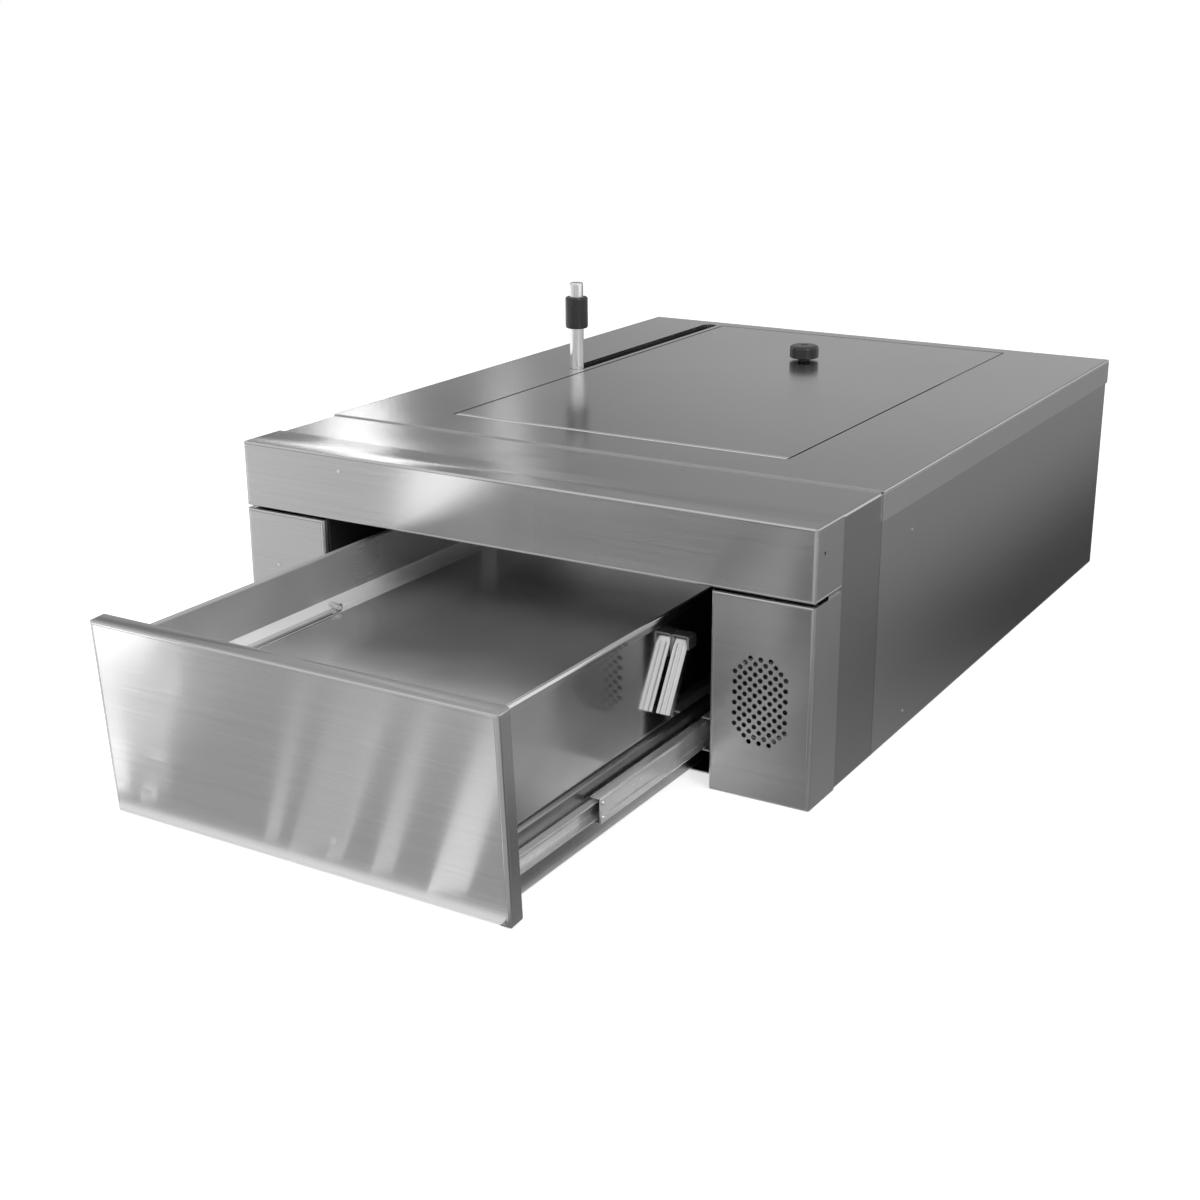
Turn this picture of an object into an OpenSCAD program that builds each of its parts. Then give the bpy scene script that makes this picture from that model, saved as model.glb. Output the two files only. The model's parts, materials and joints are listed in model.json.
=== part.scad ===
/* [Housing] */
// Overall width of the unit
unit_w = 610; // [560:1:660]
// Depth of the housing behind the fascia plane
housing_depth = 827; // [820:1:900]
// Height of the housing over its underside
housing_h = 250; // [246:1:290]
// Thickness of the outer skins
skin = 1.5; // [1.2:0.1:1.8]
// Depth of the skirt that the top cover hangs over the side panels
skirt_h = 27.5; // [20:0.5:40]
// Fascia plane to the middle of the counter bolts
face_to_origin = 425; // [400:1:440]

/* [Fascia] */
// Height of the hood over the mouth
hood_h = 64; // [62:1:80]
// Depth of the hood and of the pillar sides
hood_depth = 53; // [48:1:60]
// Open line between the hood and the pillars
hood_gap = 3; // [2:0.5:4]
// Width of each pillar beside the mouth
pillar_w = 96; // [90:1:97]
// Rounding of the outer edges
edge_r = 3; // [2:0.5:4]

/* [Wall sleeve and base] */
// Fascia plane to the back edge of the sleeve
sleeve_back = 139.5; // [120:0.5:160]
// Distance of the counter bolts from the unit's sides
bolt_side_set = 55; // [45:1:65]
// Front to back spacing of the counter bolts
bolt_span_y = 640; // [600:5:680]
// Radius of the counter bolt holes
bolt_hole_r = 4.5; // [3:0.25:6]

/* [Drawer] */
// Travel of the drawer
travel = 308; // [280:1:308]
// How far the front's lower edge stands before the fascia with the drawer out
front_reach = 297; // [290:1:310]
// Open space between the drawer front and each pillar
front_side_gap = 7.5; // [4:0.5:12]
// Height of the drawer front, along its slope
front_h = 177; // [170:1:180]
// Depth of the drawer front's folded edges
front_t = 15.4; // [12:0.2:20]
// How far the top of the front leans out past its lower edge
front_lean_out = 11.5; // [4:0.5:16]
// Distance of the slides' carriers inside the mouth's sides
carrier_set = 9.5; // [8.5:0.5:14]
// Height of the tray's rims over the underside of the unit
rim_z = 164; // [150:1:166]
// Depth of the tray under its rims
tray_depth = 51; // [35:1:70]
// Fascia plane to the outside of the tray's rear wall with the drawer out
tray_rear = 215; // [205:1:235]
// Width of the turned rims
rim_w = 6; // [4:0.5:8]

/* [Slides] */
// Height of the slides' middle line
slide_z = 38; // [34:1:40]
// Space between the drawer's rail and the slide's carrier
slide_space = 18.5; // [18:0.5:20]
// Length of the outer members
outer_len = 512; // [505:1:540]
// Length of the intermediate members
middle_len = 480; // [470:5:480]
// Thickness of the slides' sections
slide_t = 1.4; // [1.2:0.1:1.6]
// Radius of the bearing balls
ball_r = 1; // [0.9:0.05:1.1]

/* [Operating rod] */
// Diameter of the rod
rod_d = 16; // [12:0.5:17]
// Height of the rod's end over the deck
rod_reach = 99; // [80:1:140]
// Fascia plane to the rod with the drawer out
rod_y = 469.5; // [450:0.5:480]
// How far the rod stands outside the mouth's left side
rod_out = 4; // [3:0.5:7]
// Length of the black grip
grip_len = 36; // [30:1:60]
// Diameter of the grip
grip_d = 26; // [20:0.5:28]

/* [Lid] */
// Strip of the deck between the slot and the lid's opening
slot_strip = 6.5; // [5:0.5:10]
// How far the lid's right edge lies outside the drawer's rail
lid_past = 1; // [0:0.5:6]
// Length of the lid behind its hinge
lid_len = 600; // [560:5:605]
// Fascia plane to the lid's hinge line
hinge_y = 203; // [195:1:215]
// Length of the opening under the lid
well_len = 408; // [380:1:420]
// Distance of the slot's rear end from the back of the unit
slot_margin = 20; // [14:0.5:30]
// Open line round the lid
lid_gap = 2.5; // [1.5:0.25:3]
// Diameter of the knob
knob_d = 34; // [28:1:40]

/* [Grille] */
// Half of the hole spacing in a column, and the spacing of the columns
grille_step = 4.75; // [4.4:0.05:4.8]
// Radius of a grille hole
grille_r = 2.2; // [1.5:0.1:2.4]
// Height of the middle of the grille
grille_z = 91.5; // [80:0.5:100]

/* [Hidden] */
$fn = 48;
// Overrun of every cut past the face it opens
over = 1;
// Seat clearance between pieces that only lie on each other
seat = 0.3;
// Running clearance of a pin in its bore
run_gap = 0.05;
// Inside radius of the sheet bends
bend_r = 1;

// Housing
shell_half = unit_w / 2 - skin;
inner_half = shell_half - skin;
deck_under = housing_h - skin;
rear_face = housing_depth - 2 * skin;
mouth_half = unit_w / 2 - pillar_w;
pillar_h = housing_h - hood_h - hood_gap;
hood_z = housing_h - hood_h;
// Depth of the pillars' folded edges round the mouth
mouth_lip = 12;
// Fixing hole in the sides of the hood, as shares of its depth and height
hood_hole_share = 0.3;
hood_hole_rise_share = 0.625;
// Front of the sleeve under the hood, and its tail under the top cover
sleeve_front = 30;
sleeve_tail = 20;
butt = 0.3;
// Base pan: its set back from the fascia and its upturned edges
pan_front = 28;
pan_edge_h = 20;
panel_flange = 15;
// Black liners of the mouth
liner_t = 1.5;
liner_front = 7;
liner_half = inner_half - skin - seat;

// Drawer
lean = atan(front_lean_out / front_h);
carrier_face = mouth_half - carrier_set;
rail_face = carrier_face - slide_space;
tray_half = rail_face - rim_w;
wall_face = tray_half + skin;
front_half = mouth_half - front_side_gap;
rim_drop = 7;
rail_top = 60;
rail_bottom = 4;
rail_flange = 14;
wall_flange = 12;
floor_z = rim_z - tray_depth;
floor_edge_h = 14;
front_skin = 1.5;
front_lip = 27;
front_lift = 1;

// Slides
carrier_t = 2;
carrier_h = 58;
carrier_foot = 26;
outer_front = pan_front;
carrier_spare = 20;
middle_front = -156;
race_gap = 0.3;
race = 2 * (ball_r + race_gap);
inner_half_h = 8;
middle_half_h = inner_half_h + race + slide_t;
outer_half_h = middle_half_h + race + slide_t;
inner_reach = 9;
middle_web = 13;
middle_lip_at = 3;
outer_lip_at = 6;
cage_t = 0.8;
cage_len = 220;
outer_cage_front = 60;
inner_cage_front = -120;
ball_pitch = 24;
cage_lip_set = 1;
ball_set = 2;
inner_front = 17;

// Rod
rod_r = rod_d / 2;
rod_x = mouth_half + rod_out;
arm_t = 2;
arm_z = 80;
arm_h = 40;
arm_front = 60;
foot_len = 40;
foot_t = 6;
foot_beyond = 15;
stud_r = 5;
nut_h = 7;
nut_r = 9;
rod_chamfer = 1.5;
grip_drop = 16;
grip_chamfer = 3;
slot_gap = 1;
slot_half = rod_r + slot_gap;
slot_end = housing_depth - slot_margin;
guide_t = 5;
guide_wall = 8;
guide_inner_wall = 6;
guide_end = 5;

// Lid
lid_left = slot_half + slot_strip + lid_gap - rod_x;
lid_right = rail_face + lid_past;
lid_w = lid_right - lid_left;
lid_shift = (lid_left + lid_right) / 2;
barrel_r = 2.4;
hinge_z = housing_h - barrel_r;
hinge_gap = 1;
pin_r = 1;
leaf_t = 1.2;
leaf_w = 20;
knuckles = 9;
knuckle_w = lid_w / knuckles;
lid_rear = hinge_y + lid_len;
shelf_front = hinge_y + well_len;
shelf_left_front = shelf_front + bend_r + skin;
shelf_lap = 10;
shelf_edge_h = 15;
stiffener_h = 12;
stiffener_w = 10;
stiffener_set = 9;
knob_y = 443.5;
knob_stem_r = 7;
knob_stem_h = 3;
knob_h = 17.5;
knob_edge_r = 3;
knob_bore_end = 3;
head_gap = 2;
screw_r = 2.5;
screw_head_r = 5;
screw_head_h = 3;

// Grille and speaker
grille_x = mouth_half + pillar_w / 2;
grille_columns = [6, 7, 8, 9, 8, 9, 8, 9, 8, 7, 6];
speaker_half = 36;
gasket_t = 3;
gasket_r = 34;
gasket_hole_r = 30;
frame_t = 1.5;
basket_r = 32;
basket_back_r = 16;
basket_depth = 20;
basket_wall = 1.5;
window_front = 4.5;
window_h = 10;
window_w = 16;
cone_hole_r = 28;
cone_depth = 13;
cone_cap = 3;
coil_r = 7;
paper = 0.8;
pole_r = 6.5;
pole_h = 6;
magnet_r = 22;
magnet_h = 10;
magnet_plate = 2;
magnet_plate_r = 20;
stud_pitch = 30;
weld_stud_r = 2;
weld_stud_len = 12;
speaker_nut_r = 3.8;
speaker_nut_h = 3;

// Clip
clip_w = 11;
clip_set = 12;
clip_x = clip_set - tray_half;
clip_front = 31;
clip_len = 222;
clip_t = 1;
clip_eye_r = 3.5;
clip_pin_r = 1.5;
clip_ear_t = 1.5;
clip_curl_r = 4;

// Latch
latch_y = -2;
latch_z = 134;
pawl_in = 2;
pawl_w = 13;
pawl_len = 66;
pawl_t = 2;
pawl_rib = 3;
pawl_groove = 0.8;
pawl_groove_w = 1.6;
pawl_lean = 30.6;
latch_pin_r = 2;
pawl_eye_r = 4;
latch_depth = 14;
latch_low = 14;
latch_ear_low = 5;
latch_top = 5.5;

// Stops and rivets
stop_gap = 1;
bumper_h = 10;
stop_stand = 30;
bumper_r = 7;
stop_set = 55;
stop_half = tray_half - stop_set;
bumper_x = stop_half - stop_stand;
stop_h = 85;
stop_foot = 25;
stop_t = 2.5;
bumper_z = 75;
rivet_r = 1.7;
rivet_head = 0.5;
rivet_shank_r = 1.2;
rivet_gap = 0.1;
hood_hole_r = 1.7;
hood_rivet_set = 22;
hood_rivet_drop = 15;
pillar_rivet_set = 59.5;
pillar_rivet_z = 130;
hood_rivet = [hood_rivet_set - mouth_half, housing_h - hood_rivet_drop];
pillar_rivet = [-pillar_rivet_set - mouth_half, pillar_rivet_z];
side_rivet_y = 214;
side_rivet_z = [18, 196];
slide_rivet_r = 2.2;
slide_rivet_head_r = 3.7;
slide_rivet_head = 0.75;
slide_rivet_tail = 1.5;
slide_rivet_at_shares = [0.06, 0.5, 0.94];

// Moves what is measured from the fascia plane to the origin at the counter bolts
module from_face() {
    translate([0, -face_to_origin, 0]) children();
}

// A block between its lowest and highest corners
module block(lo, hi) {
    translate(lo) cube(hi - lo);
}

// A flat outline in the plane of X and Z, drawn out along Y
module along_y(from, to) {
    translate([0, to, 0]) rotate([90, 0, 0]) linear_extrude(to - from) children();
}

// A flat outline in the plane of Y and Z, drawn out along X
module along_x(from, to) {
    translate([from, 0, 0]) rotate([90, 0, 90]) linear_extrude(to - from) children();
}

// A flat outline in the plane of X and Y, drawn out along Z
module along_z(from, to) {
    translate([0, 0, from]) linear_extrude(to - from) children();
}

// A rectangle whose chosen corners are round: lower left, lower right, upper right, upper left
module soft_rect(lo, hi, r, corners) {
    places = [lo, [hi[0], lo[1]], hi, [lo[0], hi[1]]];
    inward = [[1, 1], [-1, 1], [-1, -1], [1, -1]];
    difference() {
        translate(lo) square(hi - lo);
        for (i = [0:3]) if (corners[i]) {
            middle = places[i] + r * inward[i];
            difference() {
                translate(places[i] - [over, over] + inward[i] * (r + over) / 2)
                    translate([over, over] - [r + over, r + over] / 2) square(r + over);
                translate(middle) circle(r);
            }
        }
    }
}

function turned(v) = [-v[1], v[0]];
function bend_angle(a, b) = atan2(a[0] * b[1] - a[1] * b[0], a * b);
function unit(v) = v / norm(v);

// A folded sheet seen end on. The path is one face of it, the sheet lies on the path's left
// and every fold has the inside radius bend_r.
module folded(path, t) {
    last = len(path) - 1;
    way = [for (i = [0:last - 1]) unit(path[i + 1] - path[i])];
    turn = [for (i = [0:last]) i == 0 || i == last ? 0 : bend_angle(way[i - 1], way[i])];
    radius = [for (a = turn) a > 0 ? bend_r + t : bend_r];
    setback = [for (i = [0:last]) radius[i] * tan(abs(turn[i]) / 2)];
    for (i = [0:last - 1]) {
        start = path[i] + way[i] * setback[i];
        reach = norm(path[i + 1] - path[i]) - setback[i] - setback[i + 1];
        translate(start) rotate(atan2(way[i][1], way[i][0])) square([reach, t]);
    }
    for (i = [1:1:last - 1]) {
        side = sign(turn[i]);
        from = path[i] - way[i - 1] * setback[i];
        centre = from + turned(way[i - 1]) * side * radius[i];
        begin = atan2(way[i - 1][1], way[i - 1][0]) - side * 90;
        big = bend_r + t;
        translate(centre) intersection() {
            difference() {
                circle(big);
                circle(bend_r);
            }
            polygon([
                [0, 0],
                for (k = [0:2]) 2 * big * [cos(begin + turn[i] * k / 2), sin(begin + turn[i] * k / 2)]
            ]);
        }
    }
}

// A rivet or screw head seen from its own side, with its shank through the sheet
module stud(head_r, head_h, shank_r, depth) {
    cylinder(h = head_h, r = head_r);
    translate([0, 0, -depth]) cylinder(h = depth, r = shank_r);
}

// Places of the casing's rivets, each with its turn to face outwards
module at_front_rivets(place) {
    translate([place[0], 0, place[1]]) rotate([90, 0, 0]) children();
}
module at_side_rivets(side) {
    for (z = side_rivet_z)
        translate([side * shell_half, side_rivet_y, z]) rotate([0, side * 90, 0]) children();
}
module rivet_hole() {
    translate([0, 0, -over - 2 * skin]) cylinder(h = 2 * (skin + over), r = rivet_shank_r + rivet_gap);
}
module casing_rivet() {
    stud(rivet_r, rivet_head, rivet_shank_r, 2 * skin + rivet_head);
}

module bottom_pan() {
    edge = pan_edge_h;
    color("silver") from_face() difference() {
        union() {
            along_y(pan_front, rear_face) folded([
                [-inner_half, edge], [-inner_half, 0], [inner_half, 0], [inner_half, edge]], skin);
            block([-inner_half + skin, rear_face - skin, 0], [inner_half - skin, rear_face, edge]);
        }
        for (x = [-1, 1], y = [-1, 1])
            translate([x * (unit_w / 2 - bolt_side_set), face_to_origin + y * bolt_span_y / 2, -over])
                cylinder(h = skin + 2 * over, r = bolt_hole_r);
        for (side = [-1, 1]) at_side_rivets(side) rivet_hole();
    }
}

// Right hand side panel, with its inward flange under the top cover and its tab behind the sleeve
module side_panel() {
    difference() {
        union() {
            along_y(sleeve_back + sleeve_tail + butt, rear_face) folded([
                [shell_half, 0], [shell_half, deck_under], [shell_half - panel_flange, deck_under]], skin);
            block([inner_half, sleeve_back + butt, 0],
                  [shell_half, sleeve_back + sleeve_tail + butt, deck_under - skin - butt]);
            block([inner_half - skin, sleeve_back - sleeve_tail, pan_edge_h + butt],
                  [inner_half, sleeve_back + sleeve_tail, deck_under - skin - butt]);
        }
        at_side_rivets(1) rivet_hole();
    }
}
module left_side_panel() {
    color("silver") from_face() mirror([1, 0, 0]) side_panel();
}
module right_side_panel() {
    color("silver") from_face() side_panel();
}

module rear_panel() {
    color("silver") from_face()
        block([-shell_half, rear_face, 0], [shell_half, rear_face + skin, deck_under]);
}

// Outline of the opening that the lid closes
module lid_opening(gap) {
    translate([lid_left - gap, hinge_y - barrel_r - hinge_gap])
        square([lid_w + 2 * gap, lid_len + barrel_r + hinge_gap + gap]);
}

// Outline of the slot that the rod travels in
module rod_slot(half) {
    far = slot_end - slot_half;
    for (y = [rod_y, far]) translate([-rod_x, y]) circle(half);
    translate([-rod_x - half, rod_y]) square([2 * half, far - rod_y]);
}

module top_cover() {
    half = unit_w / 2;
    skirt_z = housing_h - skirt_h;
    color("silver") from_face() difference() {
        intersection() {
            along_y(sleeve_back, housing_depth)
                soft_rect([-half, skirt_z], [half, housing_h], edge_r / 2, [0, 0, 1, 1]);
            along_x(-half, half)
                soft_rect([sleeve_back, skirt_z], [housing_depth, housing_h], edge_r / 2, [0, 0, 1, 0]);
        }
        block([-shell_half, sleeve_back - over, skirt_z - over],
              [shell_half, housing_depth - skin, deck_under]);
        along_z(deck_under - over, housing_h + over) lid_opening(lid_gap);
        along_z(deck_under - over, housing_h + over) rod_slot(slot_half);
    }
}

// Sleeve that passes through the wall: one sheet folded over the top and down both sides
module wall_sleeve() {
    color("silver") from_face() {
        along_y(sleeve_front, sleeve_back) folded([
            [shell_half, 0], [shell_half, deck_under], [-shell_half, deck_under], [-shell_half, 0]], skin);
        block([-shell_half + edge_r, sleeve_back, deck_under - skin],
              [shell_half - edge_r, sleeve_back + sleeve_tail, deck_under]);
    }
}

module front_hood() {
    half = unit_w / 2;
    color("silver") from_face() difference() {
        intersection() {
            along_z(hood_z, housing_h)
                soft_rect([-half, 0], [half, hood_depth], edge_r, [1, 1, 0, 0]);
            along_x(-half, half)
                soft_rect([0, hood_z], [hood_depth, housing_h], edge_r / 2, [1, 0, 0, 1]);
            along_y(0, hood_depth)
                soft_rect([-half, hood_z], [half, housing_h], edge_r / 2, [1, 1, 1, 1]);
        }
        block([-shell_half, skin, hood_z + skin], [shell_half, hood_depth + over, deck_under]);
        block([-shell_half, sleeve_front - seat, hood_z - over],
              [shell_half, hood_depth + over, deck_under]);
        translate([-half - over, hood_depth * hood_hole_share, hood_z + hood_h * hood_hole_rise_share])
            rotate([0, 90, 0]) cylinder(h = unit_w + 2 * over, r = hood_hole_r);
        at_front_rivets(hood_rivet) rivet_hole();
    }
}

// Right hand pillar: a folded box open to the rear
module pillar() {
    half = unit_w / 2;
    difference() {
        intersection() {
            along_z(0, pillar_h)
                soft_rect([mouth_half, 0], [half, hood_depth], edge_r, [1, 1, 0, 0]);
            along_x(mouth_half, half)
                soft_rect([0, 0], [hood_depth, pillar_h], edge_r / 2, [1, 0, 0, 1]);
        }
        block([mouth_half + skin, skin, skin], [shell_half, hood_depth + over, pillar_h - skin]);
        block([mouth_half - over, mouth_lip, -over], [shell_half, hood_depth + over, pillar_h + over]);
    }
}
module left_pillar() {
    color("silver") from_face() difference() {
        mirror([1, 0, 0]) pillar();
        at_front_rivets(pillar_rivet) rivet_hole();
    }
}

// Staggered holes of the grille, column by column
module grille_holes() {
    columns = len(grille_columns);
    for (c = [0:columns - 1], i = [0:grille_columns[c] - 1]) {
        x = grille_x + (c - (columns - 1) / 2) * grille_step;
        z = grille_z + (2 * i - grille_columns[c] + 1) * grille_step;
        translate([x, -over, z]) rotate([-90, 0, 0])
            cylinder(h = skin + 2 * over, r = grille_r, $fn = 24);
    }
}
module at_speaker_studs(y) {
    for (x = [-1, 1], z = [-1, 1])
        translate([grille_x + x * stud_pitch, y, grille_z + z * stud_pitch])
            rotate([-90, 0, 0]) children();
}
module right_pillar() {
    color("silver") from_face() {
        difference() {
            pillar();
            grille_holes();
        }
        at_speaker_studs(skin) cylinder(h = weld_stud_len, r = weld_stud_r);
    }
}

module hood_liner() {
    color([0.05, 0.05, 0.05]) from_face()
        block([-liner_half, liner_front, hood_z - liner_t], [liner_half, sleeve_back, hood_z]);
}
module side_liner() {
    block([mouth_half - liner_t, liner_front, skin + carrier_t + seat],
          [mouth_half, sleeve_back, hood_z - liner_t]);
}
module left_liner() {
    color([0.05, 0.05, 0.05]) from_face() mirror([1, 0, 0]) side_liner();
}
module right_liner() {
    color([0.05, 0.05, 0.05]) from_face() side_liner();
}

// Places of the rivets along a slide member that starts at the given place
module at_slide_rivets(front, length) {
    for (s = slide_rivet_at_shares)
        translate([0, front + s * length, slide_z]) children();
}

// Angle that stands on the pan and carries a slide
module slide_carrier() {
    foot_z = skin;
    difference() {
        along_y(pan_front + butt, outer_front + outer_len + carrier_spare) folded([
            [carrier_face, foot_z + carrier_h], [carrier_face, foot_z],
            [carrier_face + carrier_foot, foot_z]], carrier_t);
        at_slide_rivets(outer_front, outer_len)
            translate([carrier_face - over, 0, 0]) rotate([0, 90, 0])
                cylinder(h = carrier_t + 2 * over, r = slide_rivet_r + run_gap);
    }
}
module left_slide_carrier() {
    color("gray") from_face() mirror([1, 0, 0]) slide_carrier();
}
module right_slide_carrier() {
    color("gray") from_face() slide_carrier();
}

// A channel of the slides: its web, its lips and half its height, open towards or away from the drawer
module channel(web, lip, half_h, t) {
    x0 = rail_face;
    if (web > lip)
        folded([[x0 + lip, slide_z - half_h], [x0 + web, slide_z - half_h],
                [x0 + web, slide_z + half_h], [x0 + lip, slide_z + half_h]], t);
    else
        folded([[x0 + lip, slide_z + half_h], [x0 + web, slide_z + half_h],
                [x0 + web, slide_z - half_h], [x0 + lip, slide_z - half_h]], t);
}
module slide_outer() {
    difference() {
        along_y(outer_front, outer_front + outer_len)
            channel(slide_space, outer_lip_at, outer_half_h, slide_t);
        at_slide_rivets(outer_front, outer_len)
            translate([carrier_face - slide_t - over, 0, 0]) rotate([0, 90, 0])
                cylinder(h = slide_t + 2 * over, r = slide_rivet_r + run_gap);
    }
}
module left_slide_outer() {
    color("lightgray") from_face() mirror([1, 0, 0]) slide_outer();
}
module right_slide_outer() {
    color("lightgray") from_face() slide_outer();
}
module slide_intermediate() {
    along_y(middle_front, middle_front + middle_len)
        channel(middle_web, middle_lip_at, middle_half_h, slide_t);
}
module left_slide_intermediate() {
    color("gainsboro") from_face() mirror([1, 0, 0]) slide_intermediate();
}
module right_slide_intermediate() {
    color("gainsboro") from_face() slide_intermediate();
}
module slide_inner() {
    along_y(inner_front - front_reach, tray_rear) channel(0, inner_reach, inner_half_h, slide_t);
}
module left_slide_inner() {
    color("lightgray") from_face() mirror([1, 0, 0]) slide_inner();
}
module right_slide_inner() {
    color("lightgray") from_face() slide_inner();
}

// Ball cage: a thin channel between two members, with a row of balls over and under it
module ball_cage(front, web, lip, member_half_h) {
    half_h = member_half_h + race / 2;
    balls = floor(cage_len / ball_pitch);
    along_y(front, front + cage_len) channel(web, lip, half_h + cage_t / 2, cage_t);
    for (i = [0:balls - 1], side = [-1, 1])
        translate([rail_face + lip + ball_set, front + ball_pitch * (i + 0.5), slide_z + side * half_h])
            sphere(ball_r, $fn = 24);
}
module outer_ball_cage() {
    web = (middle_web + slide_space - slide_t + cage_t) / 2;
    ball_cage(outer_cage_front, web, outer_lip_at + cage_lip_set, middle_half_h);
}
module inner_ball_cage() {
    web = (inner_reach + middle_web - slide_t + cage_t) / 2;
    ball_cage(inner_cage_front, web, middle_lip_at + cage_lip_set, inner_half_h);
}
module left_outer_ball_cage() {
    color("goldenrod") from_face() mirror([1, 0, 0]) outer_ball_cage();
}
module right_outer_ball_cage() {
    color("goldenrod") from_face() outer_ball_cage();
}
module left_inner_ball_cage() {
    color("goldenrod") from_face() mirror([1, 0, 0]) inner_ball_cage();
}
module right_inner_ball_cage() {
    color("goldenrod") from_face() inner_ball_cage();
}

// Turns what is drawn up the Z axis to point back from the grille
module from_grille(y) {
    translate([grille_x, y, grille_z]) rotate([-90, 0, 0]) children();
}
module speaker_gasket() {
    color("black") from_face() from_grille(skin) difference() {
        cylinder(h = gasket_t, r = gasket_r);
        translate([0, 0, -over]) cylinder(h = gasket_t + 2 * over, r = gasket_hole_r);
    }
}
module speaker_frame() {
    color("dimgray") from_face() from_grille(skin + gasket_t) difference() {
        union() {
            block([-speaker_half, -speaker_half, 0], [speaker_half, speaker_half, frame_t]);
            rotate_extrude() polygon([
                [cone_hole_r, 0], [basket_r, 0], [basket_r, frame_t],
                [basket_back_r + basket_wall, basket_depth], [coil_r + paper, basket_depth],
                [coil_r + paper, basket_depth - basket_wall], [basket_back_r, basket_depth - basket_wall],
                [cone_hole_r, frame_t]
            ]);
        }
        translate([0, 0, -over]) cylinder(h = frame_t + 2 * over, r = cone_hole_r);
        for (a = [0:90:270]) rotate([0, 0, a])
            translate([basket_back_r / 2, -window_w / 2, window_front])
                cube([basket_r, window_w, window_h]);
        for (x = [-1, 1], y = [-1, 1]) translate([x * stud_pitch, y * stud_pitch, -over])
            cylinder(h = frame_t + 2 * over, r = weld_stud_r + rivet_gap);
    }
}
module speaker_cone() {
    rim = gasket_hole_r - seat;
    neck = cone_hole_r - seat;
    color("black") from_face() from_grille(skin + gasket_t) rotate_extrude() polygon([
        [0, cone_depth - cone_cap], [coil_r, cone_depth - paper], [neck - paper, -paper], [rim, -paper],
        [rim, 0], [neck, 0], [coil_r, cone_depth], [0, cone_depth - cone_cap + paper]
    ]);
}
module speaker_magnet() {
    color("gray") from_face() from_grille(skin + gasket_t + basket_depth) {
        cylinder(h = magnet_plate, r = magnet_plate_r);
        translate([0, 0, magnet_plate]) cylinder(h = magnet_h, r = magnet_r);
        translate([0, 0, magnet_plate + magnet_h]) cylinder(h = magnet_plate, r = magnet_plate_r);
        translate([0, 0, -pole_h]) cylinder(h = pole_h, r = pole_r);
    }
}
module speaker_nuts() {
    color("silver") from_face() at_speaker_studs(skin + gasket_t + frame_t) difference() {
        cylinder(h = speaker_nut_h, r = speaker_nut_r, $fn = 6);
        translate([0, 0, -over]) cylinder(h = speaker_nut_h + 2 * over, r = weld_stud_r + run_gap);
    }
}

// Wear strip under the slot, thinner where the lid's shelf passes over it
module slot_guide() {
    half = rod_r + seat;
    top = deck_under - seat;
    rear = slot_end + guide_end;
    color("ivory") from_face() difference() {
        block([-rod_x - slot_half - guide_wall, rod_y - slot_half - guide_end, top - guide_t],
              [-rod_x + half + guide_inner_wall, rear, top]);
        along_z(top - guide_t - over, top + over) rod_slot(half);
        block([-shell_half, shelf_left_front - seat, top - skin - seat], [0, rear + over, top + over]);
    }
}

// Shelf that the back of the lid lies on
module lid_shelf() {
    top = deck_under - seat;
    rear = rear_face - seat - skin;
    right = lid_right + lid_gap + shelf_lap;
    left = -rod_x - slot_half - shelf_lap;
    color("silver") from_face() difference() {
        along_x(left, right) folded([
            [shelf_front, top - shelf_edge_h], [shelf_front, top - skin], [rear, top - skin]], skin);
        along_z(top - guide_t - over, top + over) rod_slot(slot_half);
        block([left - over, shelf_front - skin - over, top - shelf_edge_h - over],
              [lid_left - lid_gap, shelf_left_front, top + over]);
        translate([lid_shift, hinge_y + knob_y, top - skin - over])
            cylinder(h = skin + 2 * over, r = screw_head_r + head_gap);
    }
}

module lid_panel() {
    color("silver") from_face() difference() {
        block([lid_left, hinge_y + barrel_r + seat, deck_under], [lid_right, lid_rear, housing_h]);
        translate([lid_shift, hinge_y + knob_y, deck_under - over])
            cylinder(h = skin + 2 * over, r = screw_r + rivet_gap);
    }
}

// Two angles that stiffen the lid over the opening
module lid_stiffeners() {
    from = hinge_y + leaf_w + seat;
    to = shelf_front - leaf_w / 2;
    color("silver") from_face() for (side = [-1, 1]) translate([lid_shift, 0, 0])
        mirror([side < 0 ? 1 : 0, 0, 0]) {
            x = lid_w / 2 - stiffener_set;
            along_y(from, to) folded([
                [x, deck_under - stiffener_h], [x, deck_under], [x - stiffener_w, deck_under]], skin);
        }
}

// One leaf of the lid's hinge: its plate and every second knuckle
module hinge_leaf(side, first) {
    plate_from = hinge_y + side * (barrel_r + seat);
    plate_to = hinge_y + side * leaf_w;
    difference() {
        union() {
            block([lid_left, min(plate_from, plate_to), deck_under - leaf_t],
                  [lid_right, max(plate_from, plate_to), deck_under]);
            for (i = [first:2:knuckles - 1]) {
                x = lid_left + i * knuckle_w + seat / 2;
                along_x(x, x + knuckle_w - seat) {
                    translate([hinge_y, hinge_z]) circle(barrel_r);
                    translate([min(hinge_y, plate_from + side * over), deck_under - leaf_t])
                        square([barrel_r + seat + over, leaf_t]);
                }
            }
        }
        translate([lid_left - over, hinge_y, hinge_z]) rotate([0, 90, 0])
            cylinder(h = lid_w + 2 * over, r = pin_r + run_gap);
    }
}
module lid_hinge_fixed_leaf() {
    color("gainsboro") from_face() hinge_leaf(-1, 0);
}
module lid_hinge_lid_leaf() {
    color("gainsboro") from_face() hinge_leaf(1, 1);
}
module lid_hinge_pin() {
    color("gray") from_face() translate([lid_left, hinge_y, hinge_z]) rotate([0, 90, 0])
        cylinder(h = lid_w, r = pin_r);
}

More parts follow.
